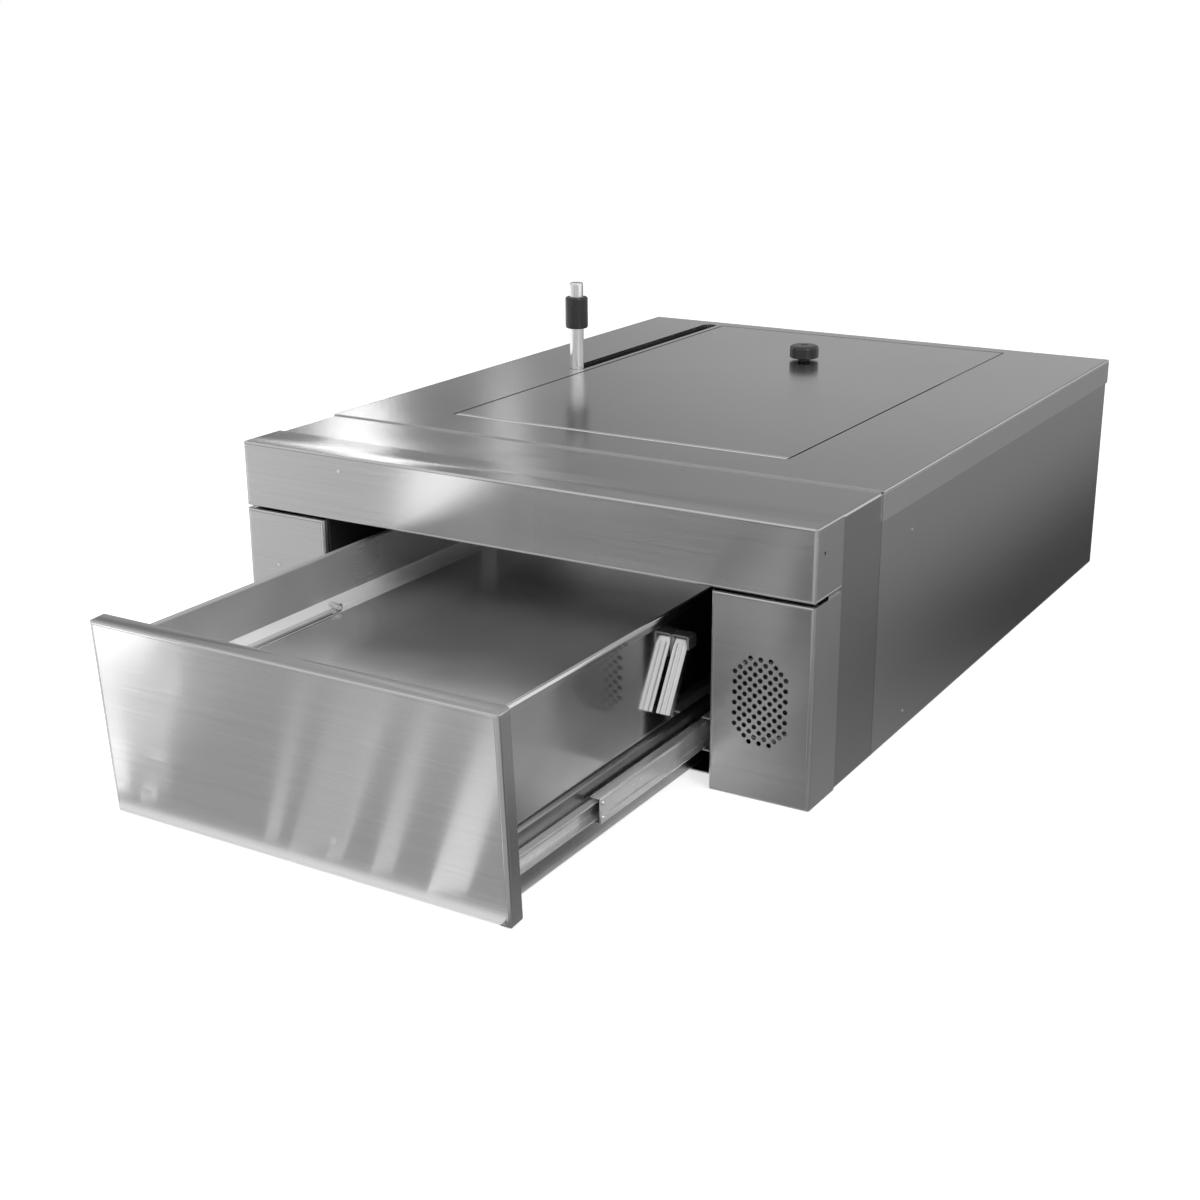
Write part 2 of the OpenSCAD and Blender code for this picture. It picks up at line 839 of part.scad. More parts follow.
module lid_knob() {
    r = knob_d / 2;
    place = [lid_shift, hinge_y + knob_y, housing_h];
    color("black") from_face() translate(place) rotate_extrude() difference() {
        union() {
            square([knob_stem_r, knob_h - knob_edge_r]);
            translate([0, knob_stem_h]) square([r - knob_edge_r, knob_h - knob_stem_h]);
            translate([0, knob_stem_h + knob_edge_r]) square([r, knob_h - knob_stem_h - 2 * knob_edge_r]);
            for (z = [knob_stem_h + knob_edge_r, knob_h - knob_edge_r])
                translate([r - knob_edge_r, z]) circle(knob_edge_r);
        }
        square([screw_r + run_gap, knob_h - knob_bore_end]);
    }
}
module knob_screw() {
    color("silver") from_face() translate([lid_shift, hinge_y + knob_y, deck_under]) {
        translate([0, 0, -screw_head_h]) cylinder(h = screw_head_h, r = screw_head_r);
        cylinder(h = skin + knob_h - knob_bore_end - over, r = screw_r);
    }
}

// Places a piece in the leaning frame of the drawer front, whose lower edge is the turning line
module in_front_frame() {
    translate([0, -front_reach, front_lift]) rotate([lean, 0, 0]) children();
}

// Cuts off what would reach into the drawer front
module behind_front() {
    difference() {
        children();
        in_front_frame() block([-unit_w, -2 * front_reach, -housing_h], [unit_w, front_t, housing_h]);
    }
}
module drawer_front() {
    half = front_half;
    color("silver") from_face() in_front_frame() difference() {
        intersection() {
            along_z(0, front_h) soft_rect([-half, 0], [half, front_t], edge_r, [1, 1, 0, 0]);
            along_x(-half, half) soft_rect([0, 0], [front_t, front_h], edge_r, [1, 0, 0, 1]);
            along_y(0, front_t) soft_rect([-half, 0], [half, front_h], edge_r, [1, 1, 1, 1]);
        }
        block([-half + front_skin, front_skin, front_skin],
              [half - front_skin, front_t - front_skin, front_h - front_skin]);
        block([-half + front_lip, front_skin, front_lip],
              [half - front_lip, front_t + over, front_h - front_lip]);
    }
}

// Right hand wall of the tray with its turned rim
module drawer_wall() {
    behind_front() along_y(-front_reach - front_lean_out, tray_rear) folded([
        [tray_half - wall_flange, rail_top], [wall_face, rail_top], [wall_face, rim_z - skin],
        [rail_face - skin, rim_z - skin], [rail_face - skin, rim_z - rim_drop]], skin);
}
module drawer_left_wall() {
    color("silver") from_face() mirror([1, 0, 0]) drawer_wall();
}
module drawer_right_wall() {
    color("silver") from_face() drawer_wall();
}
module drawer_rear_wall() {
    color("silver") from_face()
        along_x(-tray_half, tray_half) folded([
            [tray_rear - wall_flange, rail_top + skin], [tray_rear, rail_top + skin], [tray_rear, rim_z],
            [tray_rear - rim_w, rim_z], [tray_rear - rim_w, rim_z - rim_drop]], skin);
}
module drawer_front_wall() {
    y = front_t;
    top = rim_z - front_t * tan(lean);
    color("silver") from_face() in_front_frame()
        along_x(-tray_half, tray_half) folded([
            [y + wall_flange, top], [y, top], [y, floor_z - floor_edge_h]], skin);
}

// Floor of the tray, with its edges turned down against the walls
module tray_floor() {
    y1 = tray_rear - skin;
    flat = tray_half - bend_r - skin;
    color("silver") from_face() {
        difference() {
            along_y(-front_reach - front_lean_out, y1) folded([
                [tray_half, floor_z - floor_edge_h], [tray_half, floor_z], [-tray_half, floor_z],
                [-tray_half, floor_z - floor_edge_h]], skin);
            in_front_frame()
                block([-unit_w, -2 * front_reach, -housing_h], [unit_w, front_t + skin, housing_h]);
        }
        block([-flat, y1 - skin, floor_z - floor_edge_h], [flat, y1, floor_z - skin / 2]);
    }
}

// Channel under each tray wall that the slide's inner member is fixed to
module drawer_rail() {
    behind_front() along_y(-front_reach - front_lean_out, tray_rear) folded([
        [rail_face - rail_flange, rail_bottom], [rail_face, rail_bottom], [rail_face, rail_top],
        [rail_face - rail_flange - skin, rail_top]], skin);
}
module drawer_left_rail() {
    color("silver") from_face() mirror([1, 0, 0]) drawer_rail();
}
module drawer_right_rail() {
    color("silver") from_face() drawer_rail();
}

// Arm on the tray's left wall that reaches back under the slot and holds the rod
module rod_bracket() {
    rear = rod_y + foot_len / 2;
    x = -wall_face;
    color("silver") from_face() difference() {
        union() {
            along_y(arm_front, rear) folded([
                [x - arm_t * 4, arm_z], [x, arm_z], [x, arm_z + arm_h]], arm_t);
            block([-rod_x - foot_beyond, rear - foot_len, arm_z + arm_t],
                  [x - arm_t, rear, arm_z + arm_t + foot_t]);
            along_y(rear - arm_t, rear) polygon([
                [x - arm_t, arm_z + arm_t + foot_t], [x - arm_t, arm_z + arm_h],
                [-rod_x + rod_r + arm_t, arm_z + arm_t + foot_t]]);
        }
        translate([-rod_x, rod_y, arm_z - over])
            cylinder(h = arm_t + foot_t + 2 * over, r = stud_r + run_gap);
    }
}
module operating_rod() {
    foot_top = arm_z + arm_t + foot_t;
    top = housing_h + rod_reach;
    color("silver") from_face() translate([-rod_x, rod_y, 0]) {
        translate([0, 0, foot_top]) cylinder(h = top - rod_chamfer - foot_top, r = rod_r);
        translate([0, 0, top - rod_chamfer])
            cylinder(h = rod_chamfer, r1 = rod_r, r2 = rod_r - rod_chamfer);
        translate([0, 0, arm_z + arm_t - nut_h - rod_chamfer])
            cylinder(h = foot_t + nut_h + rod_chamfer, r = stud_r);
    }
}
module rod_grip() {
    r = grip_d / 2;
    low = housing_h + rod_reach - grip_drop - grip_len;
    color([0.06, 0.06, 0.06]) from_face() translate([-rod_x, rod_y, low]) rotate_extrude() polygon([
        [rod_r + run_gap, 0], [r - grip_chamfer, 0], [r, grip_chamfer], [r, grip_len - grip_chamfer],
        [r - grip_chamfer, grip_len], [rod_r + run_gap, grip_len]
    ]);
}
module rod_nut() {
    color("silver") from_face() translate([-rod_x, rod_y, arm_z + arm_t - nut_h]) difference() {
        cylinder(h = nut_h, r = nut_r, $fn = 6);
        translate([0, 0, -over]) cylinder(h = nut_h + 2 * over, r = stud_r + run_gap);
    }
}

// Spring strip that holds notes down on the tray floor, hinged at its front end
module bill_clip() {
    y = clip_front - front_reach;
    z = floor_z + clip_eye_r + seat;
    flat_z = floor_z + seat;
    rear = y + clip_len;
    color("lightgray") from_face() difference() {
        along_x(clip_x - clip_w / 2, clip_x + clip_w / 2) {
            translate([y, z]) circle(clip_eye_r);
            translate([y, flat_z]) square([clip_len, clip_t]);
            translate([rear, flat_z + clip_curl_r]) difference() {
                circle(clip_curl_r);
                circle(clip_curl_r - clip_t);
                translate([-2 * clip_curl_r, -clip_curl_r + clip_t]) square(2 * clip_curl_r);
            }
        }
        translate([clip_x - clip_w, y, z]) rotate([0, 90, 0])
            cylinder(h = 2 * clip_w, r = clip_pin_r + run_gap);
    }
}
module bill_clip_base() {
    y = clip_front - front_reach;
    z = floor_z + clip_eye_r + seat;
    inside = clip_w / 2 + seat;
    outside = inside + clip_ear_t;
    color("lightgray") from_face() {
        for (side = [-1, 1]) translate([clip_x + side * (inside + outside) / 2 - clip_ear_t / 2, 0, 0])
            along_x(0, clip_ear_t) {
                translate([y, z]) circle(clip_eye_r);
                translate([y - clip_eye_r, floor_z]) square([2 * clip_eye_r, clip_eye_r + seat]);
            }
        translate([clip_x - outside, y, z]) rotate([0, 90, 0]) cylinder(h = 2 * outside, r = clip_pin_r);
    }
}

// Bracket on the tray's right wall with the latch pin
module latch_bracket() {
    inside = wall_face + pawl_in + pawl_w + seat;
    top = latch_z + latch_top;
    color("gray") from_face() {
        along_y(latch_y - latch_depth / 2, latch_y + latch_depth / 2) folded([
            [wall_face + skin, latch_z - latch_low], [wall_face + skin, top], [inside, top],
            [inside, latch_z - latch_ear_low]], skin);
        translate([wall_face + skin / 2, latch_y, latch_z]) rotate([0, 90, 0])
            cylinder(h = inside + skin / 2 - wall_face, r = latch_pin_r);
    }
}
module latch_pawl() {
    place = [wall_face + pawl_in, latch_y, latch_z];
    color("gainsboro") from_face() translate(place) rotate([-pawl_lean, 0, 0]) difference() {
        union() {
            rotate([0, 90, 0]) cylinder(h = pawl_w, r = pawl_eye_r);
            translate([0, -pawl_eye_r, -pawl_len]) cube([pawl_w, pawl_t, pawl_len]);
            for (s = [0, pawl_w - pawl_t])
                translate([s, -pawl_eye_r, -pawl_len]) cube([pawl_t, pawl_t + pawl_rib, pawl_len]);
        }
        translate([-over, 0, 0]) rotate([0, 90, 0])
            cylinder(h = pawl_w + 2 * over, r = latch_pin_r + run_gap);
        translate([(pawl_w - pawl_groove_w) / 2, -pawl_eye_r - over, -pawl_len - over])
            cube([pawl_groove_w, over + pawl_groove, pawl_len + over]);
    }
}

// Stop across the pan with two rubber bumpers for the closed drawer
module stop_bar() {
    y = tray_rear + travel + stop_gap + bumper_h;
    color("silver") from_face() along_x(-stop_half, stop_half) folded([
        [y, stop_h], [y, skin], [y + stop_foot, skin]], stop_t);
}
module stop_bumpers() {
    y = tray_rear + travel + stop_gap;
    color("black") from_face() for (side = [-1, 1])
        translate([side * bumper_x, y, bumper_z]) rotate([-90, 0, 0])
            cylinder(h = bumper_h, r = bumper_r);
}

module casing_rivets() {
    color("gray") from_face() {
        at_front_rivets(hood_rivet) casing_rivet();
        at_front_rivets(pillar_rivet) casing_rivet();
        for (side = [-1, 1]) at_side_rivets(side) casing_rivet();
    }
}
module slide_rivets() {
    shank = slide_t + carrier_t + slide_rivet_tail;
    color("gray") from_face() for (side = [0, 1]) mirror([side, 0, 0])
        at_slide_rivets(outer_front, outer_len)
            translate([carrier_face - slide_t, 0, 0]) rotate([0, -90, 0])
                stud(slide_rivet_head_r, slide_rivet_head, slide_rivet_r, shank);
}

bottom_pan();
left_side_panel();
right_side_panel();
rear_panel();
top_cover();
wall_sleeve();
front_hood();
left_pillar();
right_pillar();
hood_liner();
left_liner();
right_liner();
left_slide_carrier();
right_slide_carrier();
left_slide_outer();
right_slide_outer();
left_slide_intermediate();
right_slide_intermediate();
left_slide_inner();
right_slide_inner();
left_outer_ball_cage();
right_outer_ball_cage();
left_inner_ball_cage();
right_inner_ball_cage();
speaker_frame();
speaker_cone();
speaker_magnet();
speaker_gasket();
speaker_nuts();
slot_guide();
lid_shelf();
lid_panel();
lid_stiffeners();
lid_hinge_fixed_leaf();
lid_hinge_lid_leaf();
lid_hinge_pin();
lid_knob();
knob_screw();
drawer_front();
drawer_left_wall();
drawer_right_wall();
drawer_rear_wall();
drawer_front_wall();
tray_floor();
drawer_left_rail();
drawer_right_rail();
rod_bracket();
operating_rod();
rod_grip();
rod_nut();
bill_clip();
bill_clip_base();
latch_bracket();
latch_pawl();
stop_bar();
stop_bumpers();
casing_rivets();
slide_rivets();
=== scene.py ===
"""Dresses the bank teller deposit drawer: finishes, hand-made pieces, floor, lamps and camera."""
import json
import logging
import math
from collections.abc import Callable
from dataclasses import dataclass, replace
from enum import Enum

import bpy
from mathutils import Euler, Matrix, Vector


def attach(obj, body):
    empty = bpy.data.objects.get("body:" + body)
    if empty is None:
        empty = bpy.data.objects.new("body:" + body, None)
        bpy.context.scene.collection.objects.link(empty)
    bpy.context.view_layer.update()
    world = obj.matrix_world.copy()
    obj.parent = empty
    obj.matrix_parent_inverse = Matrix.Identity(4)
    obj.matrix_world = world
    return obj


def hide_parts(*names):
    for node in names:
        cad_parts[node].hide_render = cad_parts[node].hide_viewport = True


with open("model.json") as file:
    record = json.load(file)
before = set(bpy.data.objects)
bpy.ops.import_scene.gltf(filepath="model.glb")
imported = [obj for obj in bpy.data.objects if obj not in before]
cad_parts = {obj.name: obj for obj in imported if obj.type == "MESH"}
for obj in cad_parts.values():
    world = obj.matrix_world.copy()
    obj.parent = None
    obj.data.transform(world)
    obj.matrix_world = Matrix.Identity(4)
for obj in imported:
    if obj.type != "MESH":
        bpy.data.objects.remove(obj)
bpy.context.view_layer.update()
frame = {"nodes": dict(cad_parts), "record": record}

LOG = logging.getLogger("deposit_drawer")
Point = tuple[float, float, float]
Piece = bpy.types.Object
Test = Callable[[Vector, Vector], bool]

# How near two lengths in metres are when they count as the same.
HAIR = 0.0001
# How much of a normal lies along an axis, at least, when a face counts as square to it.
SQUARE = 0.99
# A height or width in metres that no piece reaches.
NOWHERE = 9.0
# Depth of a brushed or drawn grain in metres.
GRAIN_DEPTH = 0.00002
# How many degrees more an edge has to turn to be broken than to stay sharp in the shading.
BREAK_MARGIN = 5.0


class Axis(Enum):
    """The axes of the shared frame, with their place in a point."""

    X = 0
    Y = 1
    Z = 2


class Part(Enum):
    """The parts of a mesh that can be chosen, by Blender's names."""

    FACE = "FACE"
    EDGE = "EDGE"


class Reading:
    """One output socket of a material, on which arithmetic adds Math nodes."""

    def __init__(self, sheet: "NodeSheet", socket: bpy.types.NodeSocket) -> None:
        """Keep the socket and the sheet that it is on."""
        self.sheet = sheet
        self.socket = socket

    def _math(self, operation: str, first: "Reading | float", second: "Reading | float") -> "Reading":
        """Output of a new Math node with this operation and these two inputs."""
        return self.sheet.add("ShaderNodeMath", {"operation": operation}, {0: first, 1: second})

    def __add__(self, other: "Reading | float") -> "Reading":
        """Sum of the two."""
        return self._math("ADD", self, other)

    def __sub__(self, other: "Reading | float") -> "Reading":
        """Difference of the two."""
        return self._math("SUBTRACT", self, other)

    def __rsub__(self, other: float) -> "Reading":
        """Difference of the two, the other way round."""
        return self._math("SUBTRACT", other, self)

    def __mul__(self, other: "Reading | float") -> "Reading":
        """Product of the two."""
        return self._math("MULTIPLY", self, other)

    def size(self) -> "Reading":
        """This reading without its sign."""
        return self._math("ABSOLUTE", self, 0.0)

    def swing(self, weight: float) -> "Reading":
        """How far this reading is from its mean of 0.5, weighted."""
        return (self - 0.5) * weight

    def step(self, low: float, high: float) -> "Reading":
        """Smooth rise from 0 at the low value to 1 at the high one."""
        span = {"Value": self, "From Min": low, "From Max": high, "To Min": 0.0, "To Max": 1.0}
        return self.sheet.add("ShaderNodeMapRange", {"interpolation_type": "SMOOTHSTEP"}, span)

    def clipped(self) -> "Reading":
        """This reading held between 0 and 1."""
        return self.sheet.add("ShaderNodeClamp", {}, {"Value": self, "Min": 0.0, "Max": 1.0})


class NodeSheet:
    """The node tree of one material, written as expressions."""

    def __init__(self, name: str) -> None:
        """Start an empty material with its output and shader.

        Args:
            name: The material's name.
        """
        self.material = bpy.data.materials.new(name)
        self.material.use_nodes = True
        self.tree = self.material.node_tree
        self.tree.nodes.clear()
        output = self.tree.nodes.new("ShaderNodeOutputMaterial")
        self.shader = self.tree.nodes.new("ShaderNodeBsdfPrincipled")
        self.tree.links.new(self.shader.outputs["BSDF"], output.inputs["Surface"])

    def add(self, kind: str, settings: dict[str, object], inputs: dict[object, object],
            out: object = 0) -> Reading:
        """Add a node.

        Args:
            kind: The node's type.
            settings: Its own settings, which are made first.
            inputs: Values or readings for its sockets, by name or number.
            out: The output that is read.

        Returns:
            The chosen output.
        """
        node = self.tree.nodes.new(kind)
        for name, value in settings.items():
            setattr(node, name, value)
        for name, value in inputs.items():
            self.feed(node.inputs[name], value)
        return Reading(self, node.outputs[out])

    def feed(self, socket: bpy.types.NodeSocket, value: object) -> None:
        """Link a reading to a socket, or set its value.

        Args:
            socket: The socket.
            value: A reading, or a plain value.
        """
        if isinstance(value, Reading):
            self.tree.links.new(value.socket, socket)
        else:
            socket.default_value = value

    def place(self, scale: Point) -> Reading:
        """Object coordinates, scaled by the repeats per metre along each axis."""
        inputs = {"Vector": self.add("ShaderNodeTexCoord", {}, {}, "Object"), "Scale": scale}
        return self.add("ShaderNodeMapping", {"vector_type": "POINT"}, inputs)

    def along(self, axis: Axis) -> Reading:
        """Distance from the origin along one axis, in metres."""
        unscaled = self.place((1.0, 1.0, 1.0))
        return self.add("ShaderNodeSeparateXYZ", {}, {"Vector": unscaled}, axis.value)

    def noise(self, scale: Point | float, detail: float = 2.0, rough: float = 0.5) -> Reading:
        """Noise in Object coordinates.

        Args:
            scale: Repeats per metre, along each axis or alike along all.
            detail: The noise's octaves.
            rough: How strong each further octave is.

        Returns:
            The noise, about 0.5 in the mean.
        """
        spot = self.place(scale if isinstance(scale, tuple) else (scale,) * 3)
        values = {"Vector": spot, "Scale": 1.0, "Detail": detail, "Roughness": rough}
        return self.add("ShaderNodeTexNoise", {"noise_dimensions": "3D"}, values, "Fac")

    def tone(self, amount: Reading, dark: Point, light: Point) -> Reading:
        """A colour between two.

        Args:
            amount: 0 for the dark one to 1 for the light one.
            dark: The first colour.
            light: The second colour.

        Returns:
            The mixed colour.
        """
        node = self.tree.nodes.new("ShaderNodeMix")
        node.data_type = "RGBA"
        self.feed(node.inputs["Factor"], amount)
        node.inputs["A"].default_value = (*dark, 1.0)
        node.inputs["B"].default_value = (*light, 1.0)
        return Reading(self, node.outputs["Result"])

    def grey(self, amount: Reading, dark: float, light: float) -> Reading:
        """A grey between two levels, with neither brighter than white."""
        return self.tone(amount, (min(1.0, dark),) * 3, (min(1.0, light),) * 3)

    def bump(self, height: Reading, distance: float, strength: float = 1.0,
             over: Reading | None = None) -> Reading:
        """A bumped normal.

        Args:
            height: The relief, 0 to 1.
            distance: Its depth in metres.
            strength: How much of it shows.
            over: A normal that it is laid on.

        Returns:
            The normal.
        """
        values = {"Height": height, "Distance": distance, "Strength": strength}
        if over is not None:
            values["Normal"] = over
        return self.add("ShaderNodeBump", {}, values)

    def set(self, **values: object) -> None:
        """Feed the shader's sockets, named with underscores for spaces."""
        for name, value in values.items():
            self.feed(self.shader.inputs[name.replace("_", " ")], value)


def grained(grain: Axis, along: float, across: float) -> Point:
    """Repeats per metre of a noise that is drawn out along the grain."""
    return tuple(along if axis is grain else across for axis in Axis)


@dataclass(frozen=True)
class Finish:
    """Finish of a surface: its name, how bright it is and how rough."""

    name: str
    tone: float
    roughness: float

    def lay(self, sheet: NodeSheet) -> None:
        """Lay the finish on a material, which each kind of finish does in its own way."""
        raise NotImplementedError

    def material(self) -> bpy.types.Material:
        """Make the material.

        Returns:
            The finished material.
        """
        sheet = NodeSheet(self.name)
        self.lay(sheet)
        return sheet.material


@dataclass(frozen=True)
class BrushedSteel(Finish):
    """Stainless sheet with a fine brushed grain, faint clouds and handling marks."""

    grain: Axis = Axis.X
    streaks: float = 0.10
    waviness: float = 0.0005
    smudges: float = 0.05
    anisotropy: float = 0.6
    # Above the crest the colour is painted darker and the sheet made rougher: painted shade on a folded top.
    crest: float = NOWHERE
    crest_painted_shade: float = 0.30
    crest_roughness: float = 0.2
    # Below the drop the colour is painted darker: painted shade.
    drop: float = -NOWHERE
    drop_painted_shade: float = 0.25

    def lay(self, sheet: NodeSheet) -> None:
        """Mix the grain, and darken the colour above the crest and below the drop as painted shade.

        Args:
            sheet: The material.
        """
        hair = sheet.noise(grained(self.grain, 9.0, 1300.0), detail=2.0, rough=0.6)
        bands = sheet.noise(grained(self.grain, 1.5, 160.0), detail=3.0, rough=0.6)
        grit = sheet.noise(850.0, detail=1.0)
        cloud = sheet.noise(5.0, detail=3.0)
        swell = sheet.noise(3.2, detail=1.0, rough=0.4)
        lines = hair * 0.45 + bands * 0.25 + grit * 0.3
        shade = (lines.swing(3.2 * self.streaks) + cloud.swing(2.0 * self.smudges) + 0.5).clipped()
        # Painted shade: darker colour above the crest, where the drawer front's folded top looks darker under
        # the light.
        above = sheet.along(Axis.Z).step(self.crest - 0.0006, self.crest + 0.0002)
        # Painted shade: darker colour below the drop, where the sleeve's side looks darker than its top.
        below = 1.0 - sheet.along(Axis.Z).step(self.drop - 0.001, self.drop + 0.001)
        shade = (shade - above * self.crest_painted_shade - below * self.drop_painted_shade).clipped()
        rough = lines.swing(0.10) + cloud.swing(1.2 * self.smudges) + above * self.crest_roughness
        relief = sheet.bump(lines, GRAIN_DEPTH, strength=0.5, over=sheet.bump(swell, self.waviness))
        sheet.set(Base_Color=sheet.grey(shade, self.tone * 0.5, self.tone * 1.5), Metallic=1.0,
                  Roughness=(rough + self.roughness).clipped(), Anisotropic=self.anisotropy,
                  Anisotropic_Rotation=0.25, Normal=relief)


@dataclass(frozen=True)
class SatinDeck(Finish):
    """Steel of the deck: a sandy satin face, rubbed smoother where hands and notes pass."""

    sand: float = 0.16
    sand_depth: float = 0.00003
    # Below the skirt's height the colour is painted lighter: painted light.
    skirt: float = -NOWHERE
    skirt_painted_light: float = 0.34

    def lay(self, sheet: NodeSheet) -> None:
        """Mix sand, grain and clouds, and lighten the colour below the skirt's height as painted light.

        Args:
            sheet: The material.
        """
        sand = sheet.noise(620.0, detail=3.0, rough=0.65)
        grain = sheet.noise((60.0, 900.0, 60.0))
        cloud = sheet.noise(5.0, detail=4.0, rough=0.6)
        # Painted light: lighter colour on the cover's skirt, which looks brighter than the side panel below
        # it.
        below = 1.0 - sheet.along(Axis.Z).step(self.skirt - 0.0004, self.skirt + 0.0004)
        shade = sand.swing(2.6 * self.sand) + grain.swing(0.12) + cloud.swing(0.14) + 0.5
        shade = (shade + below * self.skirt_painted_light).clipped()
        rough = (sand.swing(0.14) + cloud.swing(0.16) + self.roughness).clipped()
        sheet.set(Base_Color=sheet.grey(shade, self.tone * 0.5, self.tone * 1.5), Metallic=1.0,
                  Roughness=rough, Normal=sheet.bump(sand, self.sand_depth, strength=0.5))


@dataclass(frozen=True)
class TraySteel(Finish):
    """Bright tray sheet, nearly polished, with wiped clouds and fine scratches from coins."""

    grain: Axis = Axis.Y
    shine: float = 0.5
    satin: float = 0.0
    # Outside this distance from the middle the colour is painted pale: a painted highlight.
    margin: float = NOWHERE

    def lay(self, sheet: NodeSheet) -> None:
        """Mix hair, wipes and scratches, and make what is outside the margin dull and pale, the paleness a
        painted highlight.

        Args:
            sheet: The material.
        """
        hair = sheet.noise(grained(self.grain, 5.0, 700.0), detail=2.0, rough=0.6)
        wipes = sheet.noise((6.0, 9.0, 8.0), detail=3.0)
        scratch = sheet.noise((38.0, 420.0, 90.0), detail=2.0, rough=0.7).step(0.62, 0.72)
        swell = sheet.noise(5.0, detail=1.0, rough=0.4)
        edge = sheet.along(Axis.X).size().step(self.margin - 0.0008, self.margin + 0.0008)
        shade = (hair.swing(0.06) + wipes.swing(0.5) + scratch * 0.02 + 0.5).clipped()
        # Painted highlight: outside the margin the colour is made pale, standing in for the bright highlight
        # along the floor's coves; there it is also less metallic and rougher.
        shade = (shade + edge * 0.5).clipped()
        rough = (wipes.swing(0.20) + hair.swing(0.02) + self.roughness).clipped()
        sheet.set(Base_Color=sheet.grey(shade, self.tone * 0.6, self.tone * 1.4),
                  Metallic=(1.0 - self.satin) - edge * 0.7, Roughness=(rough + edge * 0.2).clipped(),
                  Normal=sheet.bump(swell, 0.0002), Coat_Weight=self.shine, Coat_Roughness=0.05)


@dataclass(frozen=True)
class BlackPaint(Finish):
    """Matt black paint on sheet, with a faint orange peel and dust."""

    tone: float = 0.012
    roughness: float = 0.6
    peel: float = 0.00008

    def lay(self, sheet: NodeSheet) -> None:
        """Lay dust over a fine orange peel.

        Args:
            sheet: The material.
        """
        grain = sheet.noise(700.0)
        dust = sheet.noise(18.0, detail=4.0, rough=0.6)
        sheet.set(Base_Color=sheet.grey(dust, self.tone * 0.7, self.tone * 1.5),
                  Roughness=dust.swing(0.25) + self.roughness, Normal=sheet.bump(grain, self.peel))


@dataclass(frozen=True)
class MouldedPlastic(Finish):
    """Black plastic from a mould, satin, with handling marks."""

    tone: float = 0.012
    roughness: float = 0.3
    texture: float = 0.00005

    def lay(self, sheet: NodeSheet) -> None:
        """Lay handling marks over the mould's fine texture.

        Args:
            sheet: The material.
        """
        pores = sheet.noise(1600.0)
        wear = sheet.noise(90.0, detail=4.0, rough=0.65)
        sheet.set(Base_Color=sheet.grey(wear, self.tone * 0.7, self.tone * 1.9),
                  Roughness=wear.swing(0.3) + self.roughness, IOR=1.5,
                  Normal=sheet.bump(pores, self.texture, strength=0.7))


@dataclass(frozen=True)
class SoftBlack(Finish):
    """Rubber or paper: dull and a little uneven."""

    tone: float = 0.02
    roughness: float = 0.85
    grain: float = 800.0
    depth: float = 0.00015

    def lay(self, sheet: NodeSheet) -> None:
        """Fade the surface unevenly over its fibres.

        Args:
            sheet: The material.
        """
        fibres = sheet.noise(self.grain, detail=3.0, rough=0.7)
        fade = sheet.noise(40.0, detail=3.0)
        sheet.set(Base_Color=sheet.grey(fade, self.tone * 0.7, self.tone * 1.5),
                  Roughness=fibres.swing(0.15) + self.roughness,
                  Normal=sheet.bump(fibres, self.depth, strength=0.6))


@dataclass(frozen=True)
class ZincPlate(Finish):
    """Bright zinc plating over rolled or pressed steel, with drawing lines and a faint spangle."""

    tone: float = 0.5
    roughness: float = 0.28
    draw: Axis = Axis.Y
    satin: float = 0.0

    def lay(self, sheet: NodeSheet) -> None:
        """Mix drawing lines and spangle, a trace bluer where it is dark.

        Args:
            sheet: The material.
        """
        drawn = sheet.noise(grained(self.draw, 3.0, 520.0), detail=3.0, rough=0.65)
        spangle = sheet.noise(160.0, detail=3.0, rough=0.6)
        shade = (drawn.swing(0.5) + spangle.swing(0.25) + 0.5).clipped()
        rough = (spangle.swing(0.12) + drawn.swing(0.08) + self.roughness).clipped()
        low = tuple(self.tone * share for share in (0.6, 0.605, 0.61))
        high = (min(1.0, self.tone * 1.4),) * 3
        sheet.set(Base_Color=sheet.tone(shade, low, high), Metallic=1.0 - self.satin, Roughness=rough,
                  Normal=sheet.bump(drawn, GRAIN_DEPTH, strength=0.5))


# Finishes of the record's material slots.
FINISHES = {
    "steel": BrushedSteel("side_steel", 0.50, 0.22, Axis.Y, anisotropy=0.3, streaks=0.06, smudges=0.03),
    "deck": SatinDeck("deck_satin", 0.50, 0.20),
    "fascia": BrushedSteel("fascia_steel", 0.50, 0.22, Axis.X, anisotropy=0.9, smudges=0.02),
    # The tray floor's strips by the coves get a painted highlight.
    "tray_steel": TraySteel("tray_bright", 0.74, 0.20, shine=0.1, satin=0.18, margin=0.1565),
    "black_liner": BlackPaint("liner_black"),
    "zinc": ZincPlate("zinc_plate", 0.40, 0.34),
    "slide_steel": ZincPlate("slide_zinc", 0.74, 0.24, satin=0.3),
    "ball_cage": ZincPlate("cage_steel", 0.42, 0.3),
    "speaker_paper": SoftBlack("cone_paper", 0.02, 0.9, 500.0),
    "magnet": BlackPaint("magnet_dark", 0.03, 0.6),
    "rubber_black": SoftBlack("bumper_rubber", 0.015, 0.8),
    "guide_plastic": MouldedPlastic("guide_black", 0.012, 0.45),
    "hinge_steel": BrushedSteel("hinge_steel", 0.62, 0.22, Axis.X, anisotropy=0.0),
    "black_plastic": MouldedPlastic("grip_black", 0.010, 0.28),
    "rod_chrome": BrushedSteel("rod_steel", 0.74, 0.10, Axis.X, streaks=0.04, waviness=0.0, anisotropy=0.0),
    "clip_steel": BrushedSteel("clip_spring", 0.66, 0.14, Axis.Y, anisotropy=0.0, waviness=0.0),
    "rivet_steel": BrushedSteel("rivet_bright", 0.66, 0.2, Axis.X, anisotropy=0.0, waviness=0.0),
}
